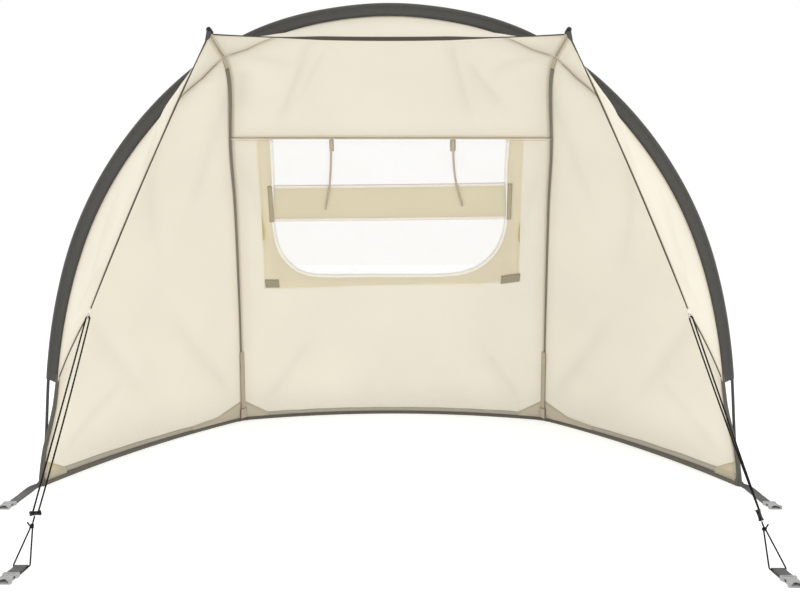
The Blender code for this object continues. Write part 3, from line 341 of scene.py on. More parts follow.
class Lines:
    """The seams and rods on the right half, at the stations of the fine cloth.

    On the arch, the sleeve ends at station q and the rods cross at k; on the rear rod they
    cross at r.
    """

    def __init__(self):
        rod, seam = arch_inset(ROD_DEPTH), front_seam()
        crossing, sleeve_end = rod.share_where(0, CROSSING_X), rod.share_where(2, SLEEVE_END_HEIGHT)
        half = spaced((0.0, sleeve_end, crossing, 0.5), (ARCH_LOW, ARCH_SIDE, ARCH_TOP // 2))
        shares = np.concatenate([half, 1.0 - half[-2::-1]])
        self.arch_rod, self.arch_seam = rod.at(shares), seam.at(shares)
        self.arch_seam[0] = seam.at(seam.share_where(2, CLOTH_FOOT))
        self.arch_seam[-1] = mirrored(self.arch_seam[0], -1)
        self.q, self.k = ARCH_LOW, ARCH_LOW + ARCH_SIDE
        index = np.arange(len(shares))
        for spot in (self.k, index[-1] - self.k):
            drop = unit(self.arch_seam[spot] - self.arch_rod[spot]) * CROSSING_SEAM
            pull = np.clip(1 - np.abs(index - spot) / FINE, 0.0, 1.0)[:, None]
            self.arch_seam += pull * (self.arch_rod[spot] + drop - self.arch_seam[spot])

        cross = crossing_point(rod)
        rear = rear_rod_path(cross)
        rear_seam = drawn_in(rear, REAR_INSIDE, ROD_TO_SEAM)
        wall_end, meet = rear.share_where(2, SEAM_HEIGHT), rear.share_near(cross)
        stations = spaced((0.0, wall_end, meet, 1.0), (REAR_WALL, REAR_ROOF, REAR_TIP))
        self.rear_rod, self.rear_seam = rear.at(stations), rear_seam.at(stations)
        self.rear_seam[0] = rear_seam.at(rear_seam.share_where(2, CLOTH_FOOT))
        self.r = REAR_WALL + REAR_ROOF
        near = np.clip((np.arange(len(self.rear_seam)) - self.r + FINE) / FINE, 0.0, 1.0)
        near[self.r + 1:] = 0.0
        self.rear_seam += near[:, None] * (self.arch_seam[self.k] - self.rear_seam[self.r])

        tip, pull = np.array(TIP) - (0.0, 0.0, TIP_DROP), np.array(PULL_POINT)
        lower = bulged(self.arch_seam[self.q], pull, LOWER_EDGE_BOW, VISOR_LOW, VISOR_OUT)
        upper = bulged(pull, tip, SIDE_EDGE_BOW, ARCH_SIDE - VISOR_LOW, VISOR_OUT)
        self.visor_side = np.concatenate([lower, upper[1:]])
        self.visor_top = bulged(tip, mirrored(tip, -1), FRONT_EDGE_SAG, ARCH_TOP, (0, 0, -1.0))
        self.tip = tip


class BackWall:
    """The back wall, which is read by half width and height."""

    def __init__(self, lines):
        self.right = lines.rear_seam[:REAR_WALL + 1]
        self.left = mirrored(self.right, -1)
        self.bottom = bulged(self.left[0], self.right[0], BACK_BULGE, BACK_COLUMNS, BACK_OUT)
        share = np.linspace(0.0, 1.0, BACK_COLUMNS + 1)[:, None]
        self.top = self.left[-1] + share * (self.right[-1] - self.left[-1])

    def grid(self):
        return coons(self.left, self.right, self.bottom, self.top)

    def height_share(self, z):
        return np.interp(z, self.right[:, 2], np.linspace(0.0, 1.0, REAR_WALL + 1))

    def half_at(self, z):
        return np.interp(z, self.right[:, 2], self.right[:, 0])

    def flat(self, x, z):
        """The wall's surface straight behind the point at x and z."""
        v = self.height_share(z)
        u = 0.5 + x / (2 * self.half_at(z))
        rods = np.interp(z, self.right[:, 2], self.right[:, 1])
        bow = 4 * BACK_BULGE * u * (1 - u) * (1 - v)
        return np.stack([x, rods + bow, z], axis=-1)

    def at(self, x, z, out):
        """A point that stands off the wall, by a distance to the outside."""
        x, z = np.broadcast_arrays(np.asarray(x, float), np.asarray(z, float))
        step = 0.006
        z_in = np.clip(z, self.right[0, 2] + step, self.right[-1, 2] - step)
        dx = self.flat(x + step, z_in) - self.flat(x - step, z_in)
        dz = self.flat(x, z_in + step) - self.flat(x, z_in - step)
        normal = unit(np.cross(dz, dx))
        return self.flat(x, z) + normal * np.asarray(out)[..., None]


LINES = Lines()
WALL = BackWall(LINES)

# The short edge below the visor: how far it stands out to the rod and in front of it
EDGE_HEIGHTS = (0.0, 0.03, 0.06, 0.10, 0.15, 0.21, 0.28)
EDGE_REACH = (0.0070, 0.0088, 0.0110, 0.0114, 0.0070, 0.0020, 0.0)
EDGE_LIFT = (0.0090, 0.0088, 0.0066, 0.0064, 0.0048, 0.0022, 0.0012)
EDGE_HALF = (0.0074, 0.0070, 0.0064, 0.0060, 0.0057, 0.0054, 0.0050)


def lower_edge():
    """The right binding below the visor: its line, the way out to the rod, and half widths."""
    low = LINES.arch_seam[:LINES.q + 3]
    out = unit(LINES.arch_rod[:LINES.q + 3] - low)
    reach, lift, half = (np.interp(low[:, 2], EDGE_HEIGHTS, sizes)[:, None]
                         for sizes in (EDGE_REACH, EDGE_LIFT, EDGE_HALF))
    line = low + out * reach - ARCH_NORMAL * lift
    line[:, 2] = np.maximum(line[:, 2], 0.0050)
    return line, out, half


def ease(x):
    x = np.clip(x, 0.0, 1.0)
    return x * x * (3 - 2 * x)


def metric(grid):
    """Lengths along and across a grid of points, for its UV map."""
    across = np.linalg.norm(np.diff(grid, axis=1), axis=2)
    along = np.linalg.norm(np.diff(grid, axis=0), axis=2)
    u = np.concatenate([np.zeros((len(grid), 1)), np.cumsum(across, axis=1)], axis=1)
    u -= u[:, -1:] / 2
    v = np.concatenate([np.zeros((1, grid.shape[1])), np.cumsum(along, axis=0)], axis=0)
    return np.stack([u, v], axis=-1)


def outward(grid):
    """Unit normals of a grid of points, on the side away from the shelter."""
    normal = np.cross(np.gradient(grid, axis=1), np.gradient(grid, axis=0))
    size = np.linalg.norm(normal, axis=2, keepdims=True)
    normal = normal / np.maximum(size, 1e-12)
    away = ((grid - np.array(REAR_INSIDE)) * normal).sum(axis=2).mean()
    return normal * np.sign(away)


def crumple(grid, seed, height, size):
    """Gentle unevenness of stretched cloth, from smooth noise."""
    offset = Vector((seed * 3.7, seed * 1.3, seed * 5.1))
    flat = []
    for point in grid.reshape(-1, 3):
        spot = Vector(point) / size
        flat.append(noise.noise(spot + offset) + 0.45 * noise.noise(spot * 2.3 + offset))
    return height * np.array(flat).reshape(grid.shape[:2])


def edge_distance(grid, edges):
    """How far each point lies from the nearest of the named edges."""
    lines = {"left": grid[:, 0], "right": grid[:, -1], "bottom": grid[0], "top": grid[-1]}
    gaps = [near_line(grid.reshape(-1, 3), lines[name])[0] for name in edges]
    return np.min(gaps, axis=0).reshape(grid.shape[:2])


def new_mesh(name, points, faces, uvs, marks):
    """A smooth mesh, moved from the front line into the frame, with its map and its marks."""
    mesh = bpy.data.meshes.new(name)
    mesh.from_pydata((points + (0.0, FRONT_LINE_Y, 0.0)).tolist(), [], faces)
    layer = mesh.uv_layers.new(name="Cloth")
    layer.data.foreach_set("uv", np.asarray(uvs, np.float32).ravel())
    for word, values in marks.items():
        attribute = mesh.attributes.new(word, "FLOAT", "POINT")
        attribute.data.foreach_set("value", np.asarray(values, np.float32).ravel())
    mesh.shade_smooth()
    return mesh


def grid_mesh(name, grid, uv=None, marks=None, drop=None):
    """A sheet of quads through a grid of points, with a UV map in metres."""
    rows, columns = grid.shape[:2]
    index = np.arange(rows * columns).reshape(rows, columns)
    quads = np.stack([index[:-1, :-1], index[:-1, 1:], index[1:, 1:], index[1:, :-1]], axis=-1)
    quads = quads.reshape(-1, 4)
    if drop is not None:
        quads = quads[~drop.reshape(-1)]
    uv = (metric(grid) if uv is None else uv).reshape(-1, 2)
    used = np.unique(quads)
    renumber = np.zeros(rows * columns, int)
    renumber[used] = np.arange(len(used))
    marks = {word: values.reshape(-1)[used] for word, values in (marks or {}).items()}
    return new_mesh(name, grid.reshape(-1, 3)[used], renumber[quads].tolist(),
                    uv[quads.reshape(-1)], marks)


def dress(piece, look, nodes=()):
    """Gives a piece the named finish and its place in the frame."""
    piece.data.materials.clear()
    piece.data.materials.append(finish(look))
    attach(piece, "root")
    if nodes:
        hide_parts(*nodes)
    return piece


def free_name(name):
    """The name, with an ending where a solid of the frame still holds it."""
    return f"{name}_detail" if bpy.data.objects.get(name) else name


def link(name, mesh):
    piece = bpy.data.objects.new(free_name(name), mesh)
    bpy.context.scene.collection.objects.link(piece)
    return piece


def sheet(name, mesh, thickness, look, nodes=()):
    """A mesh without thickness made into a dressed sheet."""
    piece = link(name, mesh)
    shell = piece.modifiers.new("Thickness", "SOLIDIFY")
    shell.thickness = thickness
    shell.offset = 0.0
    return dress(piece, look, nodes)


def loft_mesh(name, rows, across=None):
    """A closed solid through rows of section points, with a UV map in metres and flat ends."""
    rows = np.asarray(rows, float)
    n, m = rows.shape[:2]
    along = lengths_along(rows.mean(axis=1))
    ring = np.concatenate([rows, rows[:, :1]], axis=1)
    around = np.concatenate([np.zeros((n, 1)), np.cumsum(
        np.linalg.norm(np.diff(ring, axis=1), axis=2), axis=1)], axis=1)
    faces, uvs = [], []
    for j in range(n - 1):
        for i in range(m):
            k = (i + 1) % m
            faces.append((j * m + i, j * m + k, (j + 1) * m + k, (j + 1) * m + i))
            uvs += [(along[j], around[j, i]), (along[j], around[j, i + 1]),
                    (along[j + 1], around[j + 1, i + 1]), (along[j + 1], around[j + 1, i])]
    for base, end in ((0, 0), (n - 1, -1)):
        turn = range(m)[::-1] if base == 0 else range(m)
        faces.append([base * m + i for i in turn])
        uvs += [(along[end], around[end, i]) for i in turn]
    marks = {} if across is None else {"across": np.tile(across, n)}
    mesh = new_mesh(name, rows.reshape(-1, 3), faces, uvs, marks)
    bm = bmesh.new()
    bm.from_mesh(mesh)
    if bm.calc_volume(signed=True) < 0:
        bmesh.ops.reverse_faces(bm, faces=bm.faces)
    bm.to_mesh(mesh)
    bm.free()
    return mesh


def carried(line, normals, section):
    """Sections carried along a line, one at each point of it, as (sideways, out) pairs."""
    line = np.asarray(line, float)
    along = tangents(line)
    out = square_to(np.broadcast_to(np.asarray(normals, float), line.shape), along)
    side = np.cross(along, out)
    return line[:, None] + section[..., :1] * side[:, None] + section[..., 1:] * out[:, None]


# A flat tape in section, a little domed: shares of its half width, and of its rise
TAPE_ACROSS = (-1.0, -0.86, 0.0, 0.86, 1.0, 0.8, -0.8)
TAPE_RISE = (0.0, 0.75, 1.0, 0.75, 0.0, -0.4, -0.4)
# A binding folded over an edge, in section
FOLD_ACROSS = (-1.0, -0.8, 0.0, 0.8, 1.0, 0.8, 0.0, -0.8)
FOLD_RISE = (0.0, 0.9, 1.1, 0.9, 0.0, -0.9, -1.1, -0.9)


def tape(name, line, normals, half, rise, colour, nodes=(), folded=False):
    """A tape along a line, flat on one face or folded over an edge; its width may vary."""
    across, rises = (FOLD_ACROSS, FOLD_RISE) if folded else (TAPE_ACROSS, TAPE_RISE)
    x = np.broadcast_to(half, len(line))[:, None] * np.array(across)
    section = np.stack([x, np.broadcast_to(np.array(rises) * rise, x.shape)], axis=-1)
    mesh = loft_mesh(name, carried(line, normals, section), across)
    dress(link(name, mesh), colour, nodes)


def frame_along(line):
    """Directions square to a line that turn with it and never twist, from any first one."""
    out, found = np.array([0.31, 0.52, 0.79]), []
    for tangent in tangents(line):
        out = square_to(out, tangent)
        found.append(out)
    return np.array(found)


def round_bar(name, line, radius, colour, nodes=(), sides=8):
    """A round bar or cord along a line, with its UV map along it; its radius may vary."""
    line = np.asarray(line, float)
    radii = np.broadcast_to(radius, len(line))[:, None, None]
    section = radii * arc((1.0, 0.0), (0.0, 1.0), 0.0, 2 * math.pi, sides + 1)[None, :-1]
    mesh = loft_mesh(name, carried(line, frame_along(line), section))
    dress(link(name, mesh), colour, nodes)


def read_grid(grid, u, v):
    """A point on a grid of points by its shares across and along."""
    rows, columns = grid.shape[:2]
    a, b = u * (columns - 1), v * (rows - 1)
    i, j = min(int(a), columns - 2), min(int(b), rows - 2)
    a, b = a - i, b - j
    low = (1 - a) * grid[j, i] + a * grid[j, i + 1]
    high = (1 - a) * grid[j + 1, i] + a * grid[j + 1, i + 1]
    return (1 - b) * low + b * high


def near_line(points, line):
    """For each point, its distance from a line of points and the share where it is nearest."""
    along = lengths_along(line)
    best = np.full(len(points), 9.0)
    share = np.zeros(len(points))
    for n, (a, b) in enumerate(zip(line[:-1], line[1:])):
        run = b - a
        t = np.clip(((points - a) @ run) / max(run @ run, 1e-12), 0.0, 1.0)
        gap = np.linalg.norm(points - a - t[:, None] * run, axis=1)
        closer = gap < best
        best = np.where(closer, gap, best)
        share = np.where(closer, (along[n] + t * (along[n + 1] - along[n])) / along[-1], share)
    return best, share


def creases(grid, marks):
    """Heights and painted shades of soft creases; a mark is two ends as shares, a height and a
    width.
    """
    points = grid.reshape(-1, 3)
    out, shade = np.zeros(len(points)), np.zeros(len(points))
    for start, end, height, width in marks:
        stops = np.linspace(0.0, 1.0, 9)[:, None]
        route = np.array(start) + stops * (np.array(end) - np.array(start))
        gap, share = near_line(points, np.array([read_grid(grid, u, v) for u, v in route]))
        width *= 1.35
        taper = ease(share / 0.25) * ease((1 - share) / 0.35)
        across = (gap / width) ** 2
        out += 1.9 * height * taper * (1 - 0.7 * across) * np.exp(-across)
        shade = np.maximum(shade, taper * np.exp(-4 * across) * min(1.0, height / 0.004))
    return out.reshape(grid.shape[:2]), shade.reshape(grid.shape[:2])


def put(tree, kind, inputs=None, **options):
    """Adds a node to a tree; each input is a value, or the output that feeds it."""
    node = tree.nodes.new(kind)
    count = len(tree.nodes)
    node.location = (220 * (count % 9) - 900, 300 - 240 * (count // 9))
    for key, value in options.items():
        setattr(node, key, value)
    for key, value in (inputs or {}).items():
        feed(tree, node.inputs[key], value)
    return node


def feed(tree, socket, value):
    if isinstance(value, bpy.types.NodeSocket):
        tree.links.new(value, socket)
    else:
        socket.default_value = value


def math_step(tree, operation, a, b=0.0, clamp=False):
    return put(tree, "ShaderNodeMath", {0: a, 1: b}, operation=operation,
               use_clamp=clamp).outputs[0]


def times(tree, a, b):
    return math_step(tree, "MULTIPLY", a, b)


def ranged(tree, value, low, high, start=0.0, end=1.0, **options):
    """A value carried from start and end to low and high."""
    return put(tree, "ShaderNodeMapRange", {"Value": value, "From Min": start, "From Max": end,
                                            "To Min": low, "To Max": high}, **options).outputs[0]


def noise_tone(tree, vector, scale, detail, **more):
    return put(tree, "ShaderNodeTexNoise", {"Vector": vector, "Scale": scale, "Detail": detail,
                                            **more}).outputs["Fac"]


def mix_colour(tree, share, a, b):
    node = put(tree, "ShaderNodeMix", data_type="RGBA")
    for key, value in (("Factor_Float", share), ("A_Color", a), ("B_Color", b)):
        feed(tree, next(s for s in node.inputs if s.identifier == key), value)
    return next(s for s in node.outputs if s.identifier == "Result_Color")


def toned(colour, factor, lift=0.0):
    """The colour made lighter or darker by a factor."""
    return (*[min(1.0, c * factor + lift) for c in colour[:3]], 1.0)


def tinted(tree, colour, tone, reach):
    """The colour made lighter and darker by a tone around one half."""
    return mix_colour(tree, tone, toned(colour, 1 - reach), toned(colour, 1 + reach))


def new_group(name, outputs, **inputs):
    """An empty node group; an input is a number, or a vector where it is None."""
    tree = bpy.data.node_groups.new(name, "ShaderNodeTree")
    for word, value in inputs.items():
        kind = "NodeSocketVector" if value is None else "NodeSocketFloat"
        socket = tree.interface.new_socket(word, in_out="INPUT", socket_type=kind)
        if value is not None:
            socket.default_value = value
    for word in outputs:
        tree.interface.new_socket(word, in_out="OUTPUT", socket_type="NodeSocketFloat")
    return tree, tree.nodes.new("NodeGroupInput").outputs


def close_group(tree, **results):
    end = put(tree, "NodeGroupOutput")
    for word, socket in results.items():
        tree.links.new(socket, end.inputs[word])
    return tree


def weave_group(name):
    """Plain weave: warp and weft bands that pass over each other in turn."""
    tree, given = new_group(name, ("Height", "Shade"), Vector=None, Threads=900.0)
    turned = put(tree, "ShaderNodeVectorMath", {0: given["Vector"], 3: given["Threads"]},
                 operation="SCALE").outputs[0]
    parts = put(tree, "ShaderNodeSeparateXYZ", {0: turned}).outputs
    bands = [math_step(tree, "ABSOLUTE", math_step(tree, "SINE", times(tree, parts[axis], math.pi)))
             for axis in ("X", "Y")]
    over = put(tree, "ShaderNodeTexChecker", {"Vector": turned, "Color1": (1, 1, 1, 1),
                                              "Color2": (0, 0, 0, 1), "Scale": 1.0}).outputs["Fac"]
    height = math_step(tree, "ADD", times(tree, bands[0], over),
                       times(tree, bands[1], math_step(tree, "SUBTRACT", 1.0, over)))
    shade = math_step(tree, "ADD", times(tree, height, 0.5),
                      times(tree, noise_tone(tree, turned, 0.05, 4.0), 0.5))
    return close_group(tree, Height=height, Shade=shade)


def mottle_group(name):
    """Soft large blotches and fine flecks, as a tone around one half."""
    tree, given = new_group(name, ("Tone", "Fine"), Vector=None, Size=5.0)
    broad = noise_tone(tree, given["Vector"], given["Size"], 3.0, Roughness=0.45)
    fine = noise_tone(tree, given["Vector"], times(tree, given["Size"], 22.0), 5.0, Roughness=0.6)
    return close_group(tree, Tone=broad, Fine=fine)


def grain_group(name):
    """Moulded grain: a fine orange-peel height with a few scuffs."""
    tree, given = new_group(name, ("Height", "Scuffs"), Vector=None, Scale=900.0)
    streak = put(tree, "ShaderNodeMapping", {"Vector": given["Vector"],
                                             "Scale": (90.0, 700.0, 300.0)}).outputs[0]
    return close_group(tree, Height=noise_tone(tree, given["Vector"], given["Scale"], 3.0),
                       Scuffs=ranged(tree, noise_tone(tree, streak, 1.0, 6.0), 0.0, 1.0,
                                     0.60, 0.72))


def stitch_group(name):
    """Rows of lock stitch at one distance from a middle value, as a mask and a height."""
    tree, given = new_group(name, ("Mask", "Height"), Along=0.0, Across=0.0, Row=0.8,
                            Width=0.06, Pitch=0.003)
    off = math_step(tree, "SUBTRACT", math_step(tree, "ABSOLUTE", given["Across"]), given["Row"])
    near = math_step(tree, "DIVIDE", math_step(tree, "ABSOLUTE", off), given["Width"])
    row = math_step(tree, "SUBTRACT", 1.0, near, clamp=True)
    step = math_step(tree, "FRACT", math_step(tree, "DIVIDE", given["Along"], given["Pitch"]))
    dash = math_step(tree, "LESS_THAN", math_step(tree, "ABSOLUTE",
                                                  math_step(tree, "SUBTRACT", step, 0.5)), 0.36)
    mask = times(tree, dash, math_step(tree, "GREATER_THAN", row, 0.25))
    return close_group(tree, Mask=mask, Height=times(tree, row, dash))


EFFECTS = {"Cloth weave": weave_group, "Mottle": mottle_group, "Moulded grain": grain_group,
           "Stitch rows": stitch_group}


def effect(tree, name, **inputs):
    """A shared node group placed in a material; it is built at its first use."""
    group = bpy.data.node_groups.get(name) or EFFECTS[name](name)
    return put(tree, "ShaderNodeGroup", inputs, node_tree=group).outputs


def start_finish(name):
    """A new material with only its output and its Principled shader."""
    made = bpy.data.materials.new(name)
    made.use_nodes = True
    return made, made.node_tree, made.node_tree.nodes["Principled BSDF"]


def sewn_map(tree):
    """The piece's own map in metres, and its parts along and across."""
    uv = put(tree, "ShaderNodeUVMap", uv_map="Cloth").outputs[0]
    return uv, put(tree, "ShaderNodeSeparateXYZ", {0: uv}).outputs


def mark(tree, name):
    return put(tree, "ShaderNodeAttribute", attribute_name=name).outputs["Fac"]


def bump(tree, height, strength, distance, normal=None):
    inputs = {"Height": height, "Strength": strength, "Distance": distance}
    if normal is not None:
        inputs["Normal"] = normal
    return put(tree, "ShaderNodeBump", inputs).outputs[0]


def wire(tree, shader, base, rough, normal, sheen=None, specular=None, through=0.0):
    """Feeds the shader; a share of the light may also pass through the cloth."""
    for word, value in (("Base Color", base), ("Roughness", rough), ("Normal", normal),
                        ("Sheen Weight", sheen), ("Specular IOR Level", specular)):
        if value is not None:
            feed(tree, shader.inputs[word], value)
    if through:
        thin = put(tree, "ShaderNodeBsdfTranslucent", {"Color": base, "Normal": normal})
        both = put(tree, "ShaderNodeMixShader", {0: through, 1: shader.outputs[0],
                                                 2: thin.outputs[0]})
        tree.links.new(both.outputs[0], tree.nodes["Material Output"].inputs["Surface"])


def cloth_finish(name, colour, translucency, seam_colour, threads):
    """Coated polyester that lets light through, denser along its sewn edges and darker towards
    them.
    """
    made, tree, shader = start_finish(name)
    seam = mark(tree, "seam")
    place = put(tree, "ShaderNodeTexCoord").outputs["Object"]
    weave = effect(tree, "Cloth weave", Vector=sewn_map(tree)[0], Threads=threads)
    mottle = effect(tree, "Mottle", Vector=place, Size=4.0)
    allowance = ranged(tree, seam, 0.0, 0.40, 0.0115, 0.0095)
    # Darker towards every seam, fading out over five centimetres
    soft = ranged(tree, seam, 0.0, 0.13, 0.05, 0.0, interpolation_type="SMOOTHSTEP")
    # Darker flecks towards the foot
    foot_flecks = times(tree, mark(tree, "foot"), times(tree, mottle["Fine"], 0.35))
    base = tinted(tree, colour, mottle["Tone"], 0.035)
    for share, tone in ((times(tree, weave["Shade"], 0.06), toned(colour, 0.8)),
                        (math_step(tree, "MAXIMUM", allowance, soft), seam_colour),
                        (foot_flecks, toned(colour, 0.62)),
                        # Painted shade along each crease, from the fold mark
                        (times(tree, mark(tree, "fold"), 0.08), toned(colour, 0.45)),
                        # Painted shade of the flap that lies behind the wall, stronger at its
                        # border
                        (times(tree, mark(tree, "flap_shade"), 0.22), (0.86, 0.79, 0.56, 1.0))):
        base = mix_colour(tree, share, base, tone)
    fine = bump(tree, weave["Height"], 0.12, 0.00012)
    wire(tree, shader, base, ranged(tree, mottle["Fine"], 0.62, 0.80),
         bump(tree, mottle["Fine"], 0.10, 0.0012, fine), 0.08, 0.25, translucency)
    return made


def tape_finish(name, colour, ribs, stitch_colour, roughness=0.85, row=0.78, glow=0.0):
    """Woven tape: ribs along it, stitches near each edge, small slubs; pale tape glows through."""
    made, tree, shader = start_finish(name)
    uv, parts = sewn_map(tree)
    weave = effect(tree, "Cloth weave", Vector=uv, Threads=ribs)
    mottle = effect(tree, "Mottle", Vector=uv, Size=14.0)
    stitch = effect(tree, "Stitch rows", Along=parts["X"], Across=mark(tree, "across"), Row=row,
                    Width=0.09, Pitch=0.0032)
    base = tinted(tree, colour, weave["Shade"], 0.22)
    base = mix_colour(tree, times(tree, mottle["Fine"], 0.22), base, toned(colour, 1.5, 0.02))
    base = mix_colour(tree, times(tree, stitch["Mask"], 0.8), base, stitch_colour)
    ribbed = bump(tree, weave["Height"], 0.5, 0.0004)
    wire(tree, shader, base, ranged(tree, mottle["Fine"], roughness - 0.1, roughness + 0.08),
         bump(tree, stitch["Height"], 0.6, 0.0006, ribbed), 0.15, 0.2, glow)
    return made


def webbing_finish(name, colour):
    """Herringbone webbing with a paler worn edge."""
    made, tree, shader = start_finish(name)
    uv, parts = sewn_map(tree)
    slant = math_step(tree, "ADD", parts["X"], math_step(tree, "PINGPONG", parts["Y"], 0.0031))
    rib = math_step(tree, "SINE", times(tree, slant, 2 * math.pi / 0.0014))
    height = math_step(tree, "ADD", times(tree, rib, 0.5), 0.5)
    mottle = effect(tree, "Mottle", Vector=uv, Size=20.0)
    edge = ranged(tree, math_step(tree, "ABSOLUTE", mark(tree, "across")), 0.0, 0.35, 0.80, 1.0)
    # The ribs are darker in their grooves, as painted shade; the paler edge is wear
    base = mix_colour(tree, times(tree, edge, mottle["Fine"]), tinted(tree, colour, height, 0.28),
                      toned(colour, 2.2, 0.03))
    wire(tree, shader, base, ranged(tree, mottle["Fine"], 0.72, 0.92),
         bump(tree, height, 0.55, 0.0004), 0.2)
    return made


def cord_finish(name, colour, pitch=0.0032, around=0.0113):
    """Braided cord: two sets of strands that wind round it in opposite directions."""
    made, tree, shader = start_finish(name)
    uv, parts = sewn_map(tree)
    a = times(tree, parts["X"], 2 * math.pi / pitch)
    b = times(tree, parts["Y"], 4 * 2 * math.pi / around)
    strands = [math_step(tree, "SINE", math_step(tree, way, a, b)) for way in ("ADD", "SUBTRACT")]
    height = math_step(tree, "ADD", times(tree, math_step(tree, "MAXIMUM", *strands), 0.5), 0.5)
    mottle = effect(tree, "Mottle", Vector=uv, Size=30.0)
    # The strands are lighter on top and darker in the grooves between them: painted shade
    base = mix_colour(tree, times(tree, mottle["Fine"], 0.2), tinted(tree, colour, height, 0.35),
                      toned(colour, 1.8, 0.006))
    wire(tree, shader, base, ranged(tree, height, 0.85, 0.65), bump(tree, height, 0.6, 0.0004),
         0.04, 0.15)
    return made


def plastic_finish(name, colour, roughness, scuff_colour):
    """Moulded plastic with a fine grain and light scuffs."""
    made, tree, shader = start_finish(name)
    place = put(tree, "ShaderNodeTexCoord").outputs["Object"]
    grain = effect(tree, "Moulded grain", Vector=place, Scale=1400.0)
    mottle = effect(tree, "Mottle", Vector=place, Size=60.0)
    base = mix_colour(tree, times(tree, grain["Scuffs"], 0.35),
                      tinted(tree, colour, mottle["Tone"], 0.07), scuff_colour)
    wire(tree, shader, base, ranged(tree, mottle["Fine"], roughness - 0.08, roughness + 0.10),
         bump(tree, grain["Height"], 0.25, 0.0002), specular=0.32)
    return made


def rod_finish(name, colour):
    """Pulled glass-fibre rod: fine streaks along it under a dull resin skin."""
    made, tree, shader = start_finish(name)
    uv = sewn_map(tree)[0]
    long = put(tree, "ShaderNodeMapping", {"Vector": uv, "Scale": (12.0, 2600.0, 1.0)}).outputs[0]
    streak = noise_tone(tree, long, 1.0, 4.0)
    mottle = effect(tree, "Mottle", Vector=uv, Size=25.0)
    base = mix_colour(tree, times(tree, mottle["Fine"], 0.12), tinted(tree, colour, streak, 0.45),
                      (0.16, 0.155, 0.15, 1.0))
    wire(tree, shader, base, ranged(tree, mottle["Fine"], 0.32, 0.5),
         bump(tree, streak, 0.3, 0.0002))
    return made


def film_finish(name, colour, opacity):
    """Clear soft film with faint ripples and a slight haze."""
    made, tree, shader = start_finish(name)
    uv = sewn_map(tree)[0]
    ripple = noise_tone(tree, uv, 9.0, 3.0, Distortion=0.6)
    mottle = effect(tree, "Mottle", Vector=uv, Size=6.0)
    feed(tree, shader.inputs["Alpha"], ranged(tree, mottle["Tone"], opacity * 0.7, opacity * 1.3))
    wire(tree, shader, tinted(tree, colour, mottle["Fine"], 0.03),
         ranged(tree, mottle["Fine"], 0.10, 0.22), bump(tree, ripple, 0.35, 0.004))
    return made


def fuzz_finish(name, colour):
    """Hook-and-loop patch: a dense fuzz of tiny loops."""
    made, tree, shader = start_finish(name)
    uv = sewn_map(tree)[0]
    loops = put(tree, "ShaderNodeTexVoronoi", {"Vector": uv, "Scale": 900.0}).outputs["Distance"]
    mottle = effect(tree, "Mottle", Vector=uv, Size=60.0)
    # Darker where the loops sit low and lighter on top: painted shade
    base = mix_colour(tree, times(tree, mottle["Fine"], 0.25), tinted(tree, colour, loops, 0.4),
                      (0.5, 0.48, 0.42, 1.0))
    wire(tree, shader, base, 0.95, bump(tree, loops, 0.8, 0.0008), 0.4)
    return made


class CanopyClothSettings(bpy.types.PropertyGroup):
    """The cream cloth of the shell"""

    colour: bpy.props.FloatVectorProperty(
        name="Cloth colour", description="Colour of the coated polyester", subtype="COLOR",
        size=4, min=0.0, max=1.0, default=(0.875, 0.848, 0.772, 1.0))
    seam_colour: bpy.props.FloatVectorProperty(
        name="Seam colour", description="Tone of the doubled cloth along a seam",
        subtype="COLOR", size=4, min=0.0, max=1.0, default=(0.66, 0.57, 0.42, 1.0))
    translucency: bpy.props.FloatProperty(
        name="Translucency", description="Share of the light that passes through the cloth",
        subtype="FACTOR", min=0.0, max=1.0, default=0.45)
    unevenness: bpy.props.FloatProperty(
        name="Unevenness", description="Height of the cloth's soft waves", unit="LENGTH",
        subtype="DISTANCE", min=0.0, max=0.02, default=0.0022)
    threads: bpy.props.FloatProperty(
        name="Threads", description="Threads for each metre of the weave", min=100.0,
        max=4000.0, default=1300.0)


class CanopyTrimSettings(bpy.types.PropertyGroup):
    """Sleeves, tapes, bindings, webbing and plastic parts"""

    sleeve_colour: bpy.props.FloatVectorProperty(
        name="Sleeve colour", description="Dark cloth of the rod sleeves", subtype="COLOR",
        size=4, min=0.0, max=1.0, default=(0.072, 0.071, 0.066, 1.0))
    tape_colour: bpy.props.FloatVectorProperty(
        name="Hem colour", description="Dark tape along the foot", subtype="COLOR", size=4,
        min=0.0, max=1.0, default=(0.105, 0.095, 0.075, 1.0))
    webbing_colour: bpy.props.FloatVectorProperty(
        name="Webbing colour", description="Straps at the corners and guy lines",
        subtype="COLOR", size=4, min=0.0, max=1.0, default=(0.058, 0.058, 0.060, 1.0))
    buckle_colour: bpy.props.FloatVectorProperty(
        name="Buckle colour", description="Moulded buckles", subtype="COLOR", size=4, min=0.0,
        max=1.0, default=(0.35, 0.355, 0.355, 1.0))
    hem_height: bpy.props.FloatProperty(
        name="Hem height", description="Height of the dark tape", unit="LENGTH",
        subtype="DISTANCE", min=0.005, max=0.05, default=0.0145)
    strip_height: bpy.props.FloatProperty(
        name="Strip height", description="Height of the pale strip above the dark tape",
        unit="LENGTH", subtype="DISTANCE", min=0.0, max=0.05, default=0.0125)


class CanopyWindowSettings(bpy.types.PropertyGroup):
    """The window in the back wall"""

    film_opacity: bpy.props.FloatProperty(
        name="Film opacity", description="How much the clear film hides", subtype="FACTOR",
        min=0.0, max=1.0, default=0.22)
    tie_diameter: bpy.props.FloatProperty(
        name="Tie diameter", description="Thickness of each hanging tie", unit="LENGTH",
        subtype="DISTANCE", min=0.001, max=0.01, default=0.0065)


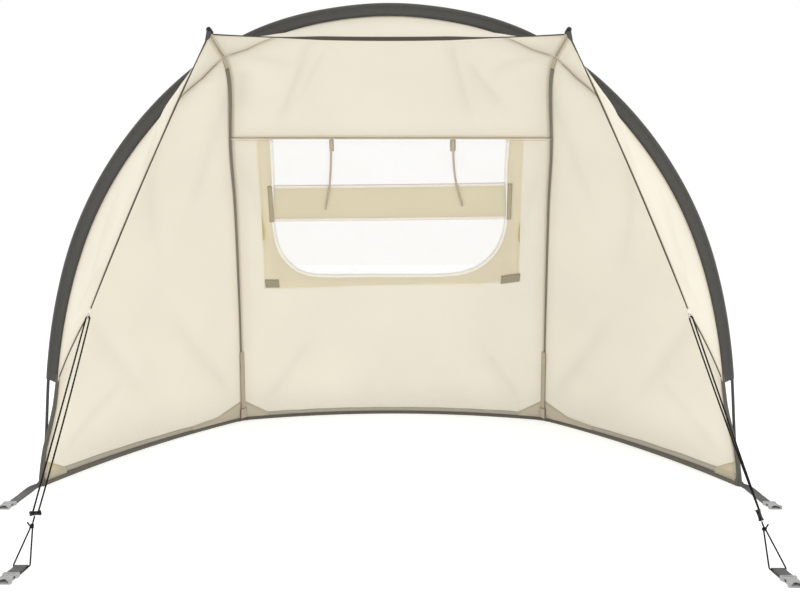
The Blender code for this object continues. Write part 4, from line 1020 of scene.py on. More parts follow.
class CanopyGuySettings(bpy.types.PropertyGroup):
    """The two guy lines"""

    colour: bpy.props.FloatVectorProperty(
        name="Cord colour", description="Braided guy cord", subtype="COLOR", size=4, min=0.0,
        max=1.0, default=(0.007, 0.006, 0.0055, 1.0))
    pull_colour: bpy.props.FloatVectorProperty(
        name="Pull loop colour", description="Pale loop on the visor's edge", subtype="COLOR",
        size=4, min=0.0, max=1.0, default=(0.42, 0.40, 0.34, 1.0))


class CanopyStageSettings(bpy.types.PropertyGroup):
    """Camera, floor and light"""

    lens: bpy.props.FloatProperty(
        name="Lens", description="Focal length on a 36 mm sensor, in millimetres", min=10.0,
        max=200.0, default=34.425)
    eye: bpy.props.FloatVectorProperty(
        name="Eye", description="Place of the camera", subtype="TRANSLATION", unit="LENGTH",
        size=3, default=(0.025, -2.1018, 0.6146))
    pitch: bpy.props.FloatProperty(
        name="Pitch", description="How far the camera looks down", subtype="ANGLE",
        unit="ROTATION", default=math.radians(3.44))
    sky: bpy.props.FloatProperty(
        name="Surrounding light", description="Strength of the light from all around",
        min=0.0, max=5.0, default=0.84)


def settings(word):
    return getattr(bpy.context.scene, f"canopy_{word}")


# Cloths: colour, share of light let through, and seam colour
CLOTHS = {"band cloth": ((0.79, 0.745, 0.60), 0.46, (0.62, 0.56, 0.42)),
          "patch cloth": ((0.76, 0.70, 0.57), 0.40, (0.60, 0.54, 0.43)),
          "flap cloth": ((0.92, 0.86, 0.62), 0.76, (0.82, 0.75, 0.56)),
          "corner cloth": ((0.90, 0.85, 0.69), 0.60, (0.78, 0.72, 0.56))}
# Tapes: colour, ribs in a metre and stitch colour, then roughness, stitch row and glow
TAPES = {"seam allowance": ((0.50, 0.45, 0.34), 1000.0, (0.36, 0.32, 0.25)),
         "tip seam": ((0.34, 0.30, 0.22), 1000.0, (0.26, 0.22, 0.16)),
         "roof seam": ((0.96, 0.86, 0.74), 1000.0, (0.80, 0.69, 0.57)),
         "crown seam": ((0.80, 0.75, 0.63), 1000.0, (0.64, 0.58, 0.47), 0.85, 0.78, 0.5),
         "band binding": ((0.84, 0.75, 0.68), 1000.0, (0.72, 0.64, 0.57)),
         "window piping": ((0.72, 0.68, 0.63), 1200.0, (0.58, 0.54, 0.50)),
         "pocket": ((0.58, 0.52, 0.41), 800.0, (0.12, 0.10, 0.07), 0.85, 0.92, 0.3),
         "band end": ((0.55, 0.48, 0.34), 1000.0, (0.38, 0.33, 0.24), 0.85, 0.78, 0.3),
         "grey piping": ((0.44, 0.41, 0.36), 1200.0, (0.34, 0.31, 0.27)),
         "hem strip": ((0.37, 0.345, 0.285), 900.0, (0.24, 0.22, 0.17)),
         "binding": ((0.060, 0.053, 0.042), 900.0, (0.12, 0.11, 0.09)),
         "lower binding": ((0.095, 0.092, 0.075), 800.0, (0.19, 0.18, 0.15)),
         "dark seam tape": ((0.17, 0.16, 0.125), 900.0, (0.26, 0.24, 0.19)),
         "pale seam tape": ((0.60, 0.54, 0.41), 900.0, (0.22, 0.19, 0.13), 0.85, 0.88, 0.35),
         "window binding": ((0.90, 0.83, 0.72), 1000.0, (0.76, 0.69, 0.57))}


def finish(word):
    """The named finish, made once from the tables and the settings."""
    name = f"Canopy {word}"
    found = bpy.data.materials.get(name)
    if found:
        return found
    cloth, trim, guy = settings("cloth"), settings("trim"), settings("guy")
    if word in CLOTHS:
        colour, through, seam = CLOTHS[word]
        return cloth_finish(name, (*colour, 1.0), through, (*seam, 1.0), cloth.threads)
    if word in TAPES:
        colour, ribs, stitch, *rest = TAPES[word]
        return tape_finish(name, (*colour, 1.0), ribs, (*stitch, 1.0), *rest)
    makers = {
        "cloth": (cloth_finish, cloth.colour, cloth.translucency, tuple(cloth.seam_colour),
                  cloth.threads),
        "sleeve": (tape_finish, trim.sleeve_colour, 1100.0, toned(trim.sleeve_colour, 1.3),
                   0.82, 0.9),
        "hem tape": (tape_finish, trim.tape_colour, 700.0, toned(trim.tape_colour, 1.9)),
        "webbing": (webbing_finish, trim.webbing_colour),
        "guy cord": (cord_finish, guy.colour),
        "pull loop": (cord_finish, guy.pull_colour),
        "tie cord": (cord_finish, (0.44, 0.38, 0.30, 1.0), 0.0034, 0.0204),
        "rod": (rod_finish, (0.016, 0.016, 0.017, 1.0)),
        "black plastic": (plastic_finish, (0.010, 0.010, 0.011, 1.0), 0.50,
                          (0.05, 0.05, 0.05, 1.0)),
        "grey plastic": (plastic_finish, trim.buckle_colour, 0.38, toned(trim.buckle_colour, 1.5)),
        "clear film": (film_finish, (0.86, 0.86, 0.84, 1.0), settings("window").film_opacity),
        "hook patch": (fuzz_finish, (0.30, 0.26, 0.165, 1.0))}
    make, colour, *rest = makers[word]
    return make(name, tuple(colour), *rest)


# Creases on the right half: start and end as shares across and along, height and width
SIDE_CREASES = (((0.03, 0.97), (0.55, 0.40), 0.0030, 0.030),
                ((0.95, 0.95), (0.62, 0.52), 0.0026, 0.026),
                ((0.02, 0.42), (0.50, 0.10), 0.0028, 0.030),
                ((0.97, 0.06), (0.55, 0.34), 0.0030, 0.032),
                ((0.04, 0.05), (0.40, 0.22), 0.0026, 0.026))
ROOF_CREASES = (((0.27, 0.93), (0.13, 0.06), 0.0042, 0.014),
                ((0.31, 0.80), (0.20, 0.30), 0.0026, 0.011),
                ((0.67, 0.90), (0.76, 0.10), 0.0038, 0.013),
                ((0.72, 0.72), (0.88, 0.22), 0.0034, 0.012),
                ((0.04, 0.80), (0.02, 0.25), 0.0040, 0.026),
                ((0.05, 0.90), (0.22, 0.62), 0.0028, 0.016),
                ((0.96, 0.90), (0.80, 0.60), 0.0028, 0.016))
BACK_CREASES = (((0.06, 0.04), (0.24, 0.30), 0.0030, 0.024),
                ((0.94, 0.04), (0.78, 0.28), 0.0030, 0.024),
                ((0.03, 0.92), (0.10, 0.55), 0.0020, 0.020),
                ((0.97, 0.92), (0.91, 0.55), 0.0020, 0.020))
VISOR_CREASES = (((0.96, 0.62), (0.40, 0.86), 0.0026, 0.018),
                 ((0.80, 0.30), (0.30, 0.62), 0.0030, 0.016),
                 ((0.90, 0.42), (0.55, 0.22), 0.0026, 0.014))
TOP_CREASES = (((0.06, 0.85), (0.22, 0.15), 0.0022, 0.012),
               ((0.94, 0.85), (0.78, 0.15), 0.0022, 0.012))

ALL_EDGES = ("left", "right", "bottom", "top")


def finished_cloth(name, grid, marks, fixed, seed, drop=None, waves=1.0, doubled=None):
    """One panel: its waves and creases die out at the seams, where the cloth is held."""
    held = edge_distance(grid, fixed)
    rise = crumple(grid, seed, settings("cloth").unevenness * waves, 0.16) * ease(held / 0.07)
    folds, shade = creases(grid, marks)
    rise += folds * ease(held / 0.022)
    shaped = grid + outward(grid) * rise[..., None]
    seam = edge_distance(grid, ALL_EDGES)
    foot = ease(1 - grid[..., 2] / 0.16)
    # Where the flap lies behind the cloth, its painted shade; none elsewhere
    flap_shade = np.zeros(seam.shape) if doubled is None else doubled
    mesh = grid_mesh(name, shaped, metric(grid),
                     {"seam": seam, "foot": foot, "fold": shade, "flap_shade": flap_shade}, drop)
    sheet(name, mesh, CLOTH, "cloth", (name,))


def side_wall_grid():
    front, back = LINES.arch_seam[:LINES.k + 1], LINES.rear_seam[:LINES.r + 1]
    bottom = bulged(front[0], back[0], SIDE_BULGE, SIDE_COLUMNS, SIDE_OUT)
    top = np.repeat(front[-1][None], SIDE_COLUMNS + 1, axis=0)
    wall = coons(front, back, bottom, top)
    wall[-1] = wall[-2] + 0.8 * (wall[-1] - wall[-2])
    line, out, half = lower_edge()
    rows = LINES.q + 1
    into = line[:rows] - out[:rows] * half[:rows] * 0.5 - wall[:rows, 0]
    into *= ease((SLEEVE_END_HEIGHT - wall[:rows, 0, 2:]) / 0.08)
    wall[:rows, :7] += np.linspace(1.0, 0.0, 7)[None, :, None] * into[:, None]
    return wall


def visor_grid():
    arch, edge = LINES.arch_seam[LINES.q:LINES.k + 1], LINES.visor_side
    across = np.linspace(0.0, 1.0, VISOR_COLUMNS + 1)[:, None]
    start = np.repeat(arch[0][None], VISOR_COLUMNS + 1, axis=0)
    visor = coons(arch, edge, start, arch[-1] + across * (edge[-1] - arch[-1]))
    visor[0] = visor[1] + 0.8 * (visor[0] - visor[1])
    return puffed(visor)


def puffed(grid):
    """The visor's side, standing out between its edges near its upper end."""
    v = np.linspace(0.0, 1.0, len(grid))[:, None]
    u = np.linspace(0.0, 1.0, grid.shape[1])[None, :]
    swell = np.sin(math.pi * np.clip((v - 0.72) / 0.28, 0.0, 1.0)) ** 1.2
    rise = VISOR_PUFF * 4 * u * (1 - u) * swell
    return grid + outward(grid) * rise[..., None]


def roof_grid():
    rows = np.linspace(0.0, 1.0, 49)
    right = Path(LINES.rear_seam[REAR_WALL:LINES.r + 1]).at(rows)
    left = mirrored(right, -1)
    top = LINES.arch_seam[LINES.k:len(LINES.arch_seam) - LINES.k][::-1]
    share = np.linspace(0.0, 1.0, len(top))[:, None]
    return coons(left, right, left[0] + share * (right[0] - left[0]), top)


def visor_top_grid():
    k = LINES.k
    back, front = LINES.arch_seam[k:len(LINES.arch_seam) - k], LINES.visor_top
    share = np.linspace(0.0, 1.0, VISOR_COLUMNS + 1)[:, None]
    right = back[0] + share * (front[0] - back[0])
    left = back[-1] + share * (front[-1] - back[-1])
    return coons(right, left, back, front)


def opening_outline(grow=0.0):
    """The window opening seen from the front, as x and z: straight above, round below."""
    turn = smooth(OPENING, 6)
    along = tangents(turn)
    return turn + np.stack([along[:, 1], -along[:, 0]], axis=-1) * grow


def inside_outline(points, outline):
    """Which points lie inside a closed outline in the plane."""
    inside = np.zeros(len(points), bool)
    for (x0, z0), (x1, z1) in zip(outline, np.roll(outline, -1, axis=0)):
        crosses = (z0 > points[:, 1]) != (z1 > points[:, 1])
        at = (x1 - x0) * (points[:, 1] - z0) / (z1 - z0 + 1e-12) + x0
        inside ^= crosses & (points[:, 0] < at)
    return inside


def onto_outline(points, outline):
    """The nearest points on a closed outline."""
    best, found = np.full(len(points), 9.0), points.copy()
    for a, b in zip(outline, np.roll(outline, -1, axis=0)):
        run = b - a
        t = np.clip(((points - a) @ run) / (run @ run), 0.0, 1.0)
        spot = a + t[:, None] * run
        gap = np.linalg.norm(points - spot, axis=1)
        found = np.where((gap < best)[:, None], spot, found)
        best = np.minimum(best, gap)
    return found


def with_opening(grid, spots, outline, place):
    """A grid's points drawn to an outline in x and z, and the faces that lie inside it."""
    shape = grid.shape[:2]
    flat = spots.reshape(-1, 2)
    inside = inside_outline(flat, outline).reshape(shape)
    corners = (inside[:-1, :-1].astype(int) + inside[:-1, 1:] + inside[1:, 1:] + inside[1:, :-1])
    drop = corners == 4
    rim = np.zeros(shape, bool)
    for j, i in np.argwhere(~drop):
        rim[j:j + 2, i:i + 2] = True
    move = (rim & inside).reshape(-1)
    nearest = onto_outline(flat[move], outline)
    points = grid.reshape(-1, 3).copy()
    points[move] = place(nearest[:, 0], nearest[:, 1])
    return points.reshape(grid.shape), drop


class CANOPY_OT_panels(bpy.types.Operator):
    """Stretches the seven cream panels between the rods"""

    bl_idname = "canopy.panels"
    bl_label = "Cloth panels"

    def execute(self, context):
        for side, word in SIDES:
            finished_cloth(f"side_wall_{word}", mirrored(side_wall_grid(), side), SIDE_CREASES,
                           ("left", "right", "bottom"), 3 + side)
            finished_cloth(f"visor_{word}", mirrored(visor_grid(), side), VISOR_CREASES,
                           ("left", "top", "right"), 7 + side, waves=0.8)
        finished_cloth("roof_panel", roof_grid(), ROOF_CREASES, ALL_EDGES, 11)
        finished_cloth("visor_top", visor_top_grid(), TOP_CREASES, ALL_EDGES, 13, waves=0.6)
        grid = WALL.grid()
        x, z = grid[..., 0], grid[..., 2]
        back, drop = with_opening(grid, grid[..., [0, 2]], opening_outline(), WALL.flat)
        share = x / (2 * WALL.half_at(z))
        rise = z - FLAP_LOW - FLAP_SLANT * (share + 0.5)
        # The wall is tinted as the painted shade of the flap behind it, more along the flap's
        # border
        doubled = (share > -FLAP_HALVES[0]) & (share < FLAP_HALVES[1]) & (rise > 0)
        rim = (share < 0.007 - FLAP_HALVES[0]) | (share > FLAP_HALVES[1] - 0.007) | (rise < 0.010)
        finished_cloth("back_wall", back, BACK_CREASES, ALL_EDGES, 17, drop=drop, waves=0.7,
                       doubled=doubled * (1.0 + 0.8 * rim))
        return {"FINISHED"}


def seam_tape(name, line, half, colour, lift=0.0006, rise=0.0009):
    """A flat tape over a seam, on the inside of the shelter."""
    face = square_to(np.array(REAR_INSIDE) - line, tangents(line))
    tape(name, line + face * lift, face, half, rise, colour)


def between_heights(line, low, high):
    """The stretch of a rising line between two heights."""
    path = Path(line)
    start, end = path.share_where(2, low), path.share_where(2, high)
    return path.at(np.linspace(start, end, 90))


class CANOPY_OT_seams(bpy.types.Operator):
    """Tapes the seams between the panels, painted dark where a sleeve lies behind them and paler
    where the bare rod does, as their shade through the cloth
    """

    bl_idname = "canopy.seams"
    bl_label = "Seam tapes"

    def execute(self, context):
        rear = LINES.rear_seam
        k = LINES.k
        for side, word in SIDES:
            line = mirrored(rear, side)
            dark = between_heights(line[:LINES.r + 1], *DARK_TAPE)
            low = between_heights(line, *PALE_TAPE)
            high = Path(line[:LINES.r + 1])
            high = high.at(np.linspace(high.share_where(2, PALE_TAPE_TOP), 1.0, 20))
            # Seam tapes toned as painted shade: dark of the sleeve behind the cloth, pale of the
            # bare rod
            seam_tape(f"rear_seam_dark_{word}", dark, np.linspace(*DARK_HALVES, 90),
                      "dark seam tape")
            seam_tape(f"rear_seam_low_{word}", low, LOW_HALF, "pale seam tape", lift=0.0050)
            seam_tape(f"rear_seam_high_{word}", high, HIGH_HALF, "pale seam tape")
            arch = mirrored(LINES.arch_seam[LINES.q + 2:k - 1], side)
            seam_tape(f"arch_seam_{word}", arch, ARCH_HALF, "seam allowance")
            # The seam from the crossing to the tip, darkened as the painted shadow of the rod that
            # lies over the cloth
            tip = mirrored(np.linspace(LINES.arch_seam[k], LINES.tip, 14)[1:-3], side)
            seam_tape(f"tip_seam_{word}", tip, np.linspace(*TIP_HALVES, 10), "tip seam")
        crown = LINES.arch_seam[k + 2:len(LINES.arch_seam) - k - 2]
        seam_tape("arch_seam_top", crown, ARCH_HALF, "crown seam")
        # A grey strip below the crown seam, painted as the shadow under the arch and fading towards
        # the sides
        below = crown[FINE:-FINE]
        near = np.clip((CROWN_SHADOW - np.abs(below[:, 0] - 0.004)) / CROWN_FADE, 0.0, 1.0)
        used = near > 0
        below, near = below[used], near[used]
        seam_tape("crown_shadow", below - (0.0, 0.0, 0.0030), 0.0006 + 0.0030 * ease(near),
                  "grey piping", lift=0.0012)
        across = np.linspace(-1.0, 1.0, 60)[:, None]
        top = np.array([0.0, *WALL.right[-1][1:]]) + across * np.array([WALL.right[-1][0], 0, 0])
        seam_tape("roof_seam", top - (0.0, 0.0, 0.0014), ROOF_HALF, "roof seam", lift=0.0010)
        return {"FINISHED"}


def cross_directions(line, normal, towards):
    """Directions square to a line and a normal that point to a middle."""
    into = np.cross(tangents(line), normal)
    middle = np.array(towards) - line
    return unit(into) * np.sign((into * middle).sum(axis=1))[:, None]


def sleeve_profile(width, neck, radius, slot):
    """A folded sleeve in section: inward distance from the rod, and distance to each side."""
    fin, mouth = CLOTH / 2 + slot, math.radians(35)
    loop = arc((radius, 0.0), (0.0, radius), mouth, 2 * math.pi - mouth, 13)
    middle = (width + neck) / 2
    return [(width, fin), (middle, fin), (neck, fin), *loop, (neck, -fin), (middle, -fin),
            (width, -fin)]


def sleeve_sheet(name, line, into, normal, profiles, slant=(0.0, 0.0)):
    """The sleeve as a folded sheet; slant draws its inner edge out at each end."""
    flat = np.array(profiles)
    along = tangents(line)
    rows = line[:, None] + into[:, None] * flat[..., :1] + normal[:, None] * flat[..., 1:]
    for end, sign, reach in ((0, -1, slant[0]), (-1, 1, slant[1])):
        depth = (flat[end, :, 0] - flat[end, :, 0].min()) / np.ptp(flat[end, :, 0])
        rows[end] += along[end] * depth[:, None] * sign * reach
    run, around = lengths_along(line), lengths_along(flat[len(flat) // 2])
    uv = np.stack(np.broadcast_arrays(run[:, None], around[None]), axis=-1)
    neck = np.where(flat[..., 0] > 0.0084, 0.9 + 60.0 * (flat[..., 0] - 0.0090), 0.0)
    mesh = grid_mesh(name, rows, uv, {"across": neck})
    sheet(name, mesh, SLEEVE, "sleeve", (name,))


def along_rod(line, first, last):
    """The rod's line between two stations, which may be fractions."""
    stations = np.linspace(first, last, int(abs(last - first)) + 2)
    index = np.arange(len(line))
    return np.stack([np.interp(stations, index, column) for column in line.T], -1)


class CANOPY_OT_sleeves(bpy.types.Operator):
    """Folds the dark sleeves round the arch rod and the two rear rods"""

    bl_idname = "canopy.sleeves"
    bl_label = "Rod sleeves"

    def execute(self, context):
        rod, k, q = LINES.arch_rod, LINES.k, LINES.q
        last = len(rod) - 1
        gap = 0.22 * FINE
        spans = (("right", q, k - gap, (0.010, 0.0)), ("top", k + gap, last - k - gap, (0.0, 0.0)),
                 ("left", last - k + gap, last - q, (0.0, 0.010)))
        for word, first, end, slant in spans:
            line = along_rod(rod, first, end)
            seam = along_rod(LINES.arch_seam, first, end)
            widths = np.linalg.norm(seam - line, axis=1) - 0.0008
            profiles = [sleeve_profile(width, *ARCH_FOLD) for width in widths]
            into = cross_directions(line, ARCH_NORMAL, INSIDE)
            normal = np.broadcast_to(ARCH_NORMAL, line.shape)
            wave = np.sin(np.arange(len(line)) * 0.83) + 0.6 * np.sin(np.arange(len(line)) * 0.31)
            sleeve_sheet(f"arch_sleeve_{word}", line + normal * wave[:, None] * 0.00012, into,
                         normal, profiles, slant)
        rows = between_heights(LINES.rear_rod[:LINES.r], *REAR_SLEEVE)
        profiles = [sleeve_profile(REAR_FIN, *REAR_FOLD)] * len(rows)
        into = square_to(np.array(REAR_INSIDE) - rows, tangents(rows))
        normal = np.cross(tangents(rows), into)
        for side, word in SIDES:
            sleeve_sheet(f"rear_sleeve_{word}", mirrored(rows, side), mirrored(into, side),
                         mirrored(normal, side), profiles)
        return {"FINISHED"}


def at_height(grid, heights):
    """The line where a rising wall passes a height; below its foot the wall is carried on."""
    line = []
    for column, z in zip(grid.transpose(1, 0, 2), np.broadcast_to(heights, grid.shape[1])):
        if z <= column[0, 2]:
            share = (z - column[0, 2]) / (column[1, 2] - column[0, 2])
            line.append(column[0] + share * (column[1] - column[0]))
        else:
            line.append([np.interp(z, column[:, 2], column[:, 0]),
                         np.interp(z, column[:, 2], column[:, 1]), z])
    return np.array(line)


def wall_spot(grid, along, z, from_end=False):
    """A point on a wall, by its distance along the foot from one end and its height."""
    line = Path(at_height(grid, z))
    share = min(max(along / line.length, 0.0), 1.0)
    return line.at(1 - share if from_end else share)


def standing_band(name, low, high, out, thickness, colour, nodes=()):
    """A flat band that stands between two lines, with a rounded top."""
    half = out * thickness / 2
    rows = np.stack([low - half, low + half, (low + high) / 2 + half * 1.1, high + half * 0.9,
                     high + (high - low) * 0.04, high - half * 0.9, (low + high) / 2 - half * 1.1],
                    axis=1)
    across = (-1.0, -1.0, 0.0, 0.85, 1.0, 0.85, 0.0)
    dress(link(name, loft_mesh(name, rows, across)), colour, nodes)


def foot_patch(name, grid, outline, from_end, colour):
    """A reinforcement on the inside of a wall; its outline gives its top along the foot."""
    stops, tops = zip(*outline)
    along = np.linspace(stops[0], stops[-1], 18)
    rises = np.interp(along, stops, tops) - PATCH_FOOT
    patch = np.array([[wall_spot(grid, spot, PATCH_FOOT + share * rise, from_end)
                       for spot, rise in zip(along, rises)] for share in np.linspace(0.0, 1.0, 6)])
    patch -= outward(patch) * PATCH_LIFT
    mesh = grid_mesh(name, patch, None, {"seam": edge_distance(patch, ("top", "left", "right")),
                                         "foot": np.full(patch.shape[:2], 0.6)})
    sheet(name, mesh, CLOTH, colour)


class CANOPY_OT_hems(bpy.types.Operator):
    """Binds the foot of the walls with dark tape, a pale strip and corner patches"""

    bl_idname = "canopy.hems"
    bl_label = "Hems"

    def execute(self, context):
        trim = settings("trim")
        walls = [("back", WALL.grid())]
        walls += [(word, mirrored(side_wall_grid(), side)) for side, word in SIDES]
        for word, grid in walls:
            front = np.linspace(1.0, 0.0, grid.shape[1]) ** 1.5 * (word != "back")
            top = trim.hem_height * (1 + HEM_GROWTH * front)
            strip = trim.strip_height * (1 + STRIP_GROWTH * front)
            low, high = at_height(grid, 0.0), at_height(grid, top)
            high[:, 2] += 0.0004 * np.sin(np.arange(len(high)) * 0.7)
            out = -unit(np.array(REAR_INSIDE) * (1, 1, 0) - low * (1, 1, 0))
            ends = slice(1 if word == "back" else 0, -1)
            standing_band(f"hem_{word}", low[ends], high[ends], out[ends], HEM_BAND, "hem tape",
                          (f"hem_{word}",))
            strip_low = at_height(grid, top - 0.001) - out * 0.0009
            strip_high = at_height(grid, top + strip) - out * 0.0009
            strip_high[:, 2] += 0.0005 * np.sin(np.arange(len(high)) * 0.45)
            standing_band(f"hem_strip_{word}", strip_low[ends], strip_high[ends], out[ends],
                          HEM_STRIP, "hem strip")
        for side, word in SIDES:
            wall = mirrored(side_wall_grid(), side)
            foot_patch(f"rear_patch_side_{word}", wall, REAR_SIDE_PATCH, True, "patch cloth")
            foot_patch(f"rear_patch_back_{word}", WALL.grid(), REAR_BACK_PATCH, side == 1,
                       "patch cloth")
            foot_patch(f"front_patch_{word}", wall, FRONT_PATCH, False, "corner cloth")
            pocket = between_heights(mirrored(LINES.rear_seam, side), *POCKET)
            seam_tape(f"rear_pocket_{word}", pocket, POCKET_HALF, "pocket", lift=0.0078,
                      rise=0.0014)
            self.turn_hem(side, word, trim.hem_height)
        return {"FINISHED"}

    def turn_hem(self, side, word, height):
        """The dark tape carried round the foot of the rear rod, from wall to wall."""
        back = at_height(WALL.grid(), height / 2)[-3:-1]
        wall = at_height(side_wall_grid(), height / 2)[-3:-1][::-1]
        corner = Path(LINES.rear_seam).at(0.004) * (1, 1, 0) + (0, 0, height / 2)
        route = smooth([*back, (back[1] + wall[0]) * 0.2 + corner * 0.6, *wall], 6)
        face = unit((np.array(REAR_INSIDE) - corner) * (1, 1, 0))
        tape(f"hem_turn_{word}", mirrored(route + face * HEM_BAND, side), mirrored(face, side),
             height / 2, 0.0010, "hem tape")


class CANOPY_OT_bindings(bpy.types.Operator):
    """Binds the free edges of the visor and the short edges down to the corners"""

    bl_idname = "canopy.bindings"
    bl_label = "Edge bindings"

    def execute(self, context):
        front = LINES.visor_top[1:-1]
        cloth = visor_top_grid()
        normal = outward(cloth)[-1][1:-1]
        share = np.linspace(-1.0, 1.0, len(front))
        middle = ease((0.68 - np.abs(share - 0.02)) / 0.34)
        half = FRONT_HALVES[0] + (FRONT_HALVES[1] - FRONT_HALVES[0]) * middle
        into = unit(cloth[-2] - cloth[-1])[1:-1]
        roll = (FRONT_ROLL * middle)[:, None]
        normal, into = (normal * np.cos(roll) - into * np.sin(roll),
                        into * np.cos(roll) + normal * np.sin(roll))
        tape("front_edge_top", front + into * half[:, None] * 0.3, normal, half, 0.0011, "binding",
             ("front_edge_top",), folded=True)
        visor = visor_grid()
        for side, word in SIDES:
            edge = visor[2:, -1]
            into = unit(visor[2:, -2] - visor[2:, -1])
            normal = outward(visor)[2:, -1]
            line = mirrored(edge + into * 0.0010, side)
            half = np.interp(np.arange(len(edge)), (0, VISOR_LOW, VISOR_LOW + 8, len(edge)),
                             VISOR_HALVES)
            tape(f"front_edge_{word}", line, mirrored(normal, side), half, 0.0012, "binding",
                 (f"front_edge_{word}",), folded=True)
            line, _, half = lower_edge()
            tape(f"lower_edge_{word}", mirrored(line, side), -ARCH_NORMAL, half[:, 0], 0.0013,
                 "lower binding", (f"lower_edge_{word}",), folded=True)
        return {"FINISHED"}


def wall_strip(name, x, z, half, colour, lift, rise=0.0006):
    """A tape on the back wall's inner face along a line of x and z."""
    spots = WALL.at(x, z, -lift)
    face = unit(spots - WALL.at(x, z, 0.004))
    tape(name, spots, face, half, rise, colour)


def window_sheet(name, across, heights, out, thickness, colour, low_slant=0.0, slant=0.0,
                 hole=None):
    """A layer of the window; across gives shares of the wall's half width."""
    x_share, z = np.meshgrid(across, heights)
    fall = (heights[-1] - z) / (heights[-1] - heights[0])
    z = z + low_slant * fall * (x_share + 1) / 2 + slant * x_share / 2
    x = x_share * WALL.half_at(z)
    spots = WALL.at(x, z, out)
    uv, drop = metric(spots), None
    if hole is not None:
        spots, drop = with_opening(spots, np.stack([x, z], axis=-1), hole,
                                   lambda a, b: WALL.at(a, b, out))
    ripple = crumple(spots, 23, 0.0004, 0.10)
    spots = spots + outward(spots) * ripple[..., None]
    seam = edge_distance(spots, ALL_EDGES)
    mesh = grid_mesh(name, spots, uv, {"seam": seam, "foot": np.zeros(seam.shape)}, drop)
    return sheet(name, mesh, thickness, colour, (name,))


class CANOPY_OT_window(bpy.types.Operator):
    """Hangs the window flap with its clear panes, cross band, bound edge and patches"""

    bl_idname = "canopy.window"
    bl_label = "Window"

    def execute(self, context):
        flap = window_sheet("window_flap", 2 * np.linspace(-FLAP_HALVES[0], FLAP_HALVES[1], 97),
                            np.linspace(FLAP_LOW, FLAP_TOP, 57), LAYER, CLOTH, "flap cloth",
                            low_slant=FLAP_SLANT, hole=opening_outline(0.002))
        clear, lap = 2 * PANE_HALF, 0.006
        across = np.linspace(-clear - lap, clear + lap, 70)
        for word, low, high, cut, fall in (
                ("lower", PANE_LOW, BAND_LOW + lap, "pane_low", 0.010),
                ("upper", BAND_TOP - lap, PANE_TOP, "pane_top", 0.0)):
            film = window_sheet(f"window_pane_{word}", across, np.linspace(low, high, 16),
                                LAYER + 0.0012, FILM, "clear film", low_slant=fall)
        band = window_sheet("window_band", across, np.linspace(BAND_LOW, BAND_TOP, 12), LAYER,
                            CLOTH, "band cloth", slant=BAND_SLANT)
        self.trim_band()
        self.bind_opening()
        for word in PATCHES:
            self.patch(f"flap_patch_{word}", word, LAYER + 0.0022, (f"flap_patch_{word}",))
            # The flap patch's mate, set on the wall's inner face as a dark sheet that shows the
            # painted shade of the patches outside
            self.patch(f"wall_patch_{word}", word, -0.0014)
        return {"FINISHED"}

    def trim_band(self):
        """Pale bindings along the band's two edges and darker hems at its ends."""
        clear = 2 * PANE_HALF
        share = np.linspace(-clear, clear, 60)
        for word, z in (("low", BAND_LOW + 0.004), ("high", BAND_TOP - 0.004)):
            z = z + BAND_SLANT * share / 2
            wall_strip(f"band_binding_{word}", share * WALL.half_at(z), z, 0.0064,
                       "band binding", -LAYER + 0.0007)
        for side, word in SIDES:
            z = np.linspace(BAND_LOW, BAND_TOP, 14) + BAND_SLANT * side * BAND_ENDS[word]
            x = side * 2 * BAND_ENDS[word] * WALL.half_at(z)
            wall_strip(f"band_end_{word}", x, z, 0.0066, "band end", 0.0021)

    def bind_opening(self):
        """A pale binding round the opening's edge, with a thin grey line inside it."""
        for name, grow, half, colour, lift, rise in (
                ("opening_binding", 0.0010, 0.0056, "window binding", 0.0010, 0.0009),
                ("opening_piping", -0.0050, 0.0011, "window piping", 0.0004, 0.0007)):
            line = opening_outline(grow)
            half = half * np.interp(line[:, 1], (0.60, 0.74), (1.0, 0.62))
            wall_strip(name, line[:, 0], line[:, 1], half, colour, lift, rise)

    def patch(self, name, word, out, nodes=()):
        """A hook-and-loop patch at a lower corner of the flap."""
        start, end, low, far_low, height = PATCHES[word]
        x, share = np.meshgrid(np.linspace(start, end, 10), np.linspace(0.0, 1.0, 6))
        z = np.interp(x, (start, end), (low, far_low)) + share * height
        mesh = grid_mesh(name, WALL.at(x, z, out))
        sheet(name, mesh, PATCH, "hook patch", nodes)


class CANOPY_OT_window_ties(bpy.types.Operator):
    """Hangs the two thin ties on the back wall, each from a small sewn tab"""

    bl_idname = "canopy.window_ties"
    bl_label = "Window ties"

    def execute(self, context):
        window = settings("window")
        for side, word in SIDES:
            name = f"window_tie_{word}"
            share, z = smooth(TIE_ROUTES[word], 12).T
            inner = np.full(z.shape, -0.0011 - window.tie_diameter / 2)
            inner[:3] -= 0.0014
            spots = WALL.at(side * 2 * share * WALL.half_at(z), z, inner)
            spots = spots + (0.0, FRONT_LINE_Y, 0.0)
            curve = bpy.data.curves.new(name, "CURVE")
            curve.dimensions = "3D"
            curve.bevel_depth = window.tie_diameter / 2
            curve.bevel_resolution = 3
            curve.use_fill_caps = True
            spline = curve.splines.new("POLY")
            spline.points.add(len(spots) - 1)
            for knot, spot in zip(spline.points, spots):
                knot.co = (*spot, 1.0)
            piece = dress(link(name, curve), "tie cord", (name,))
            z = np.linspace(*TIE_TAB_HEIGHTS, 8)
            x = side * 2 * TIE_ROUTES[word][0][0] * WALL.half_at(z)
            wall_strip(f"tie_tab_{word}", x, z, TIE_TABS[word], "pale seam tape", 0.0018)
        return {"FINISHED"}


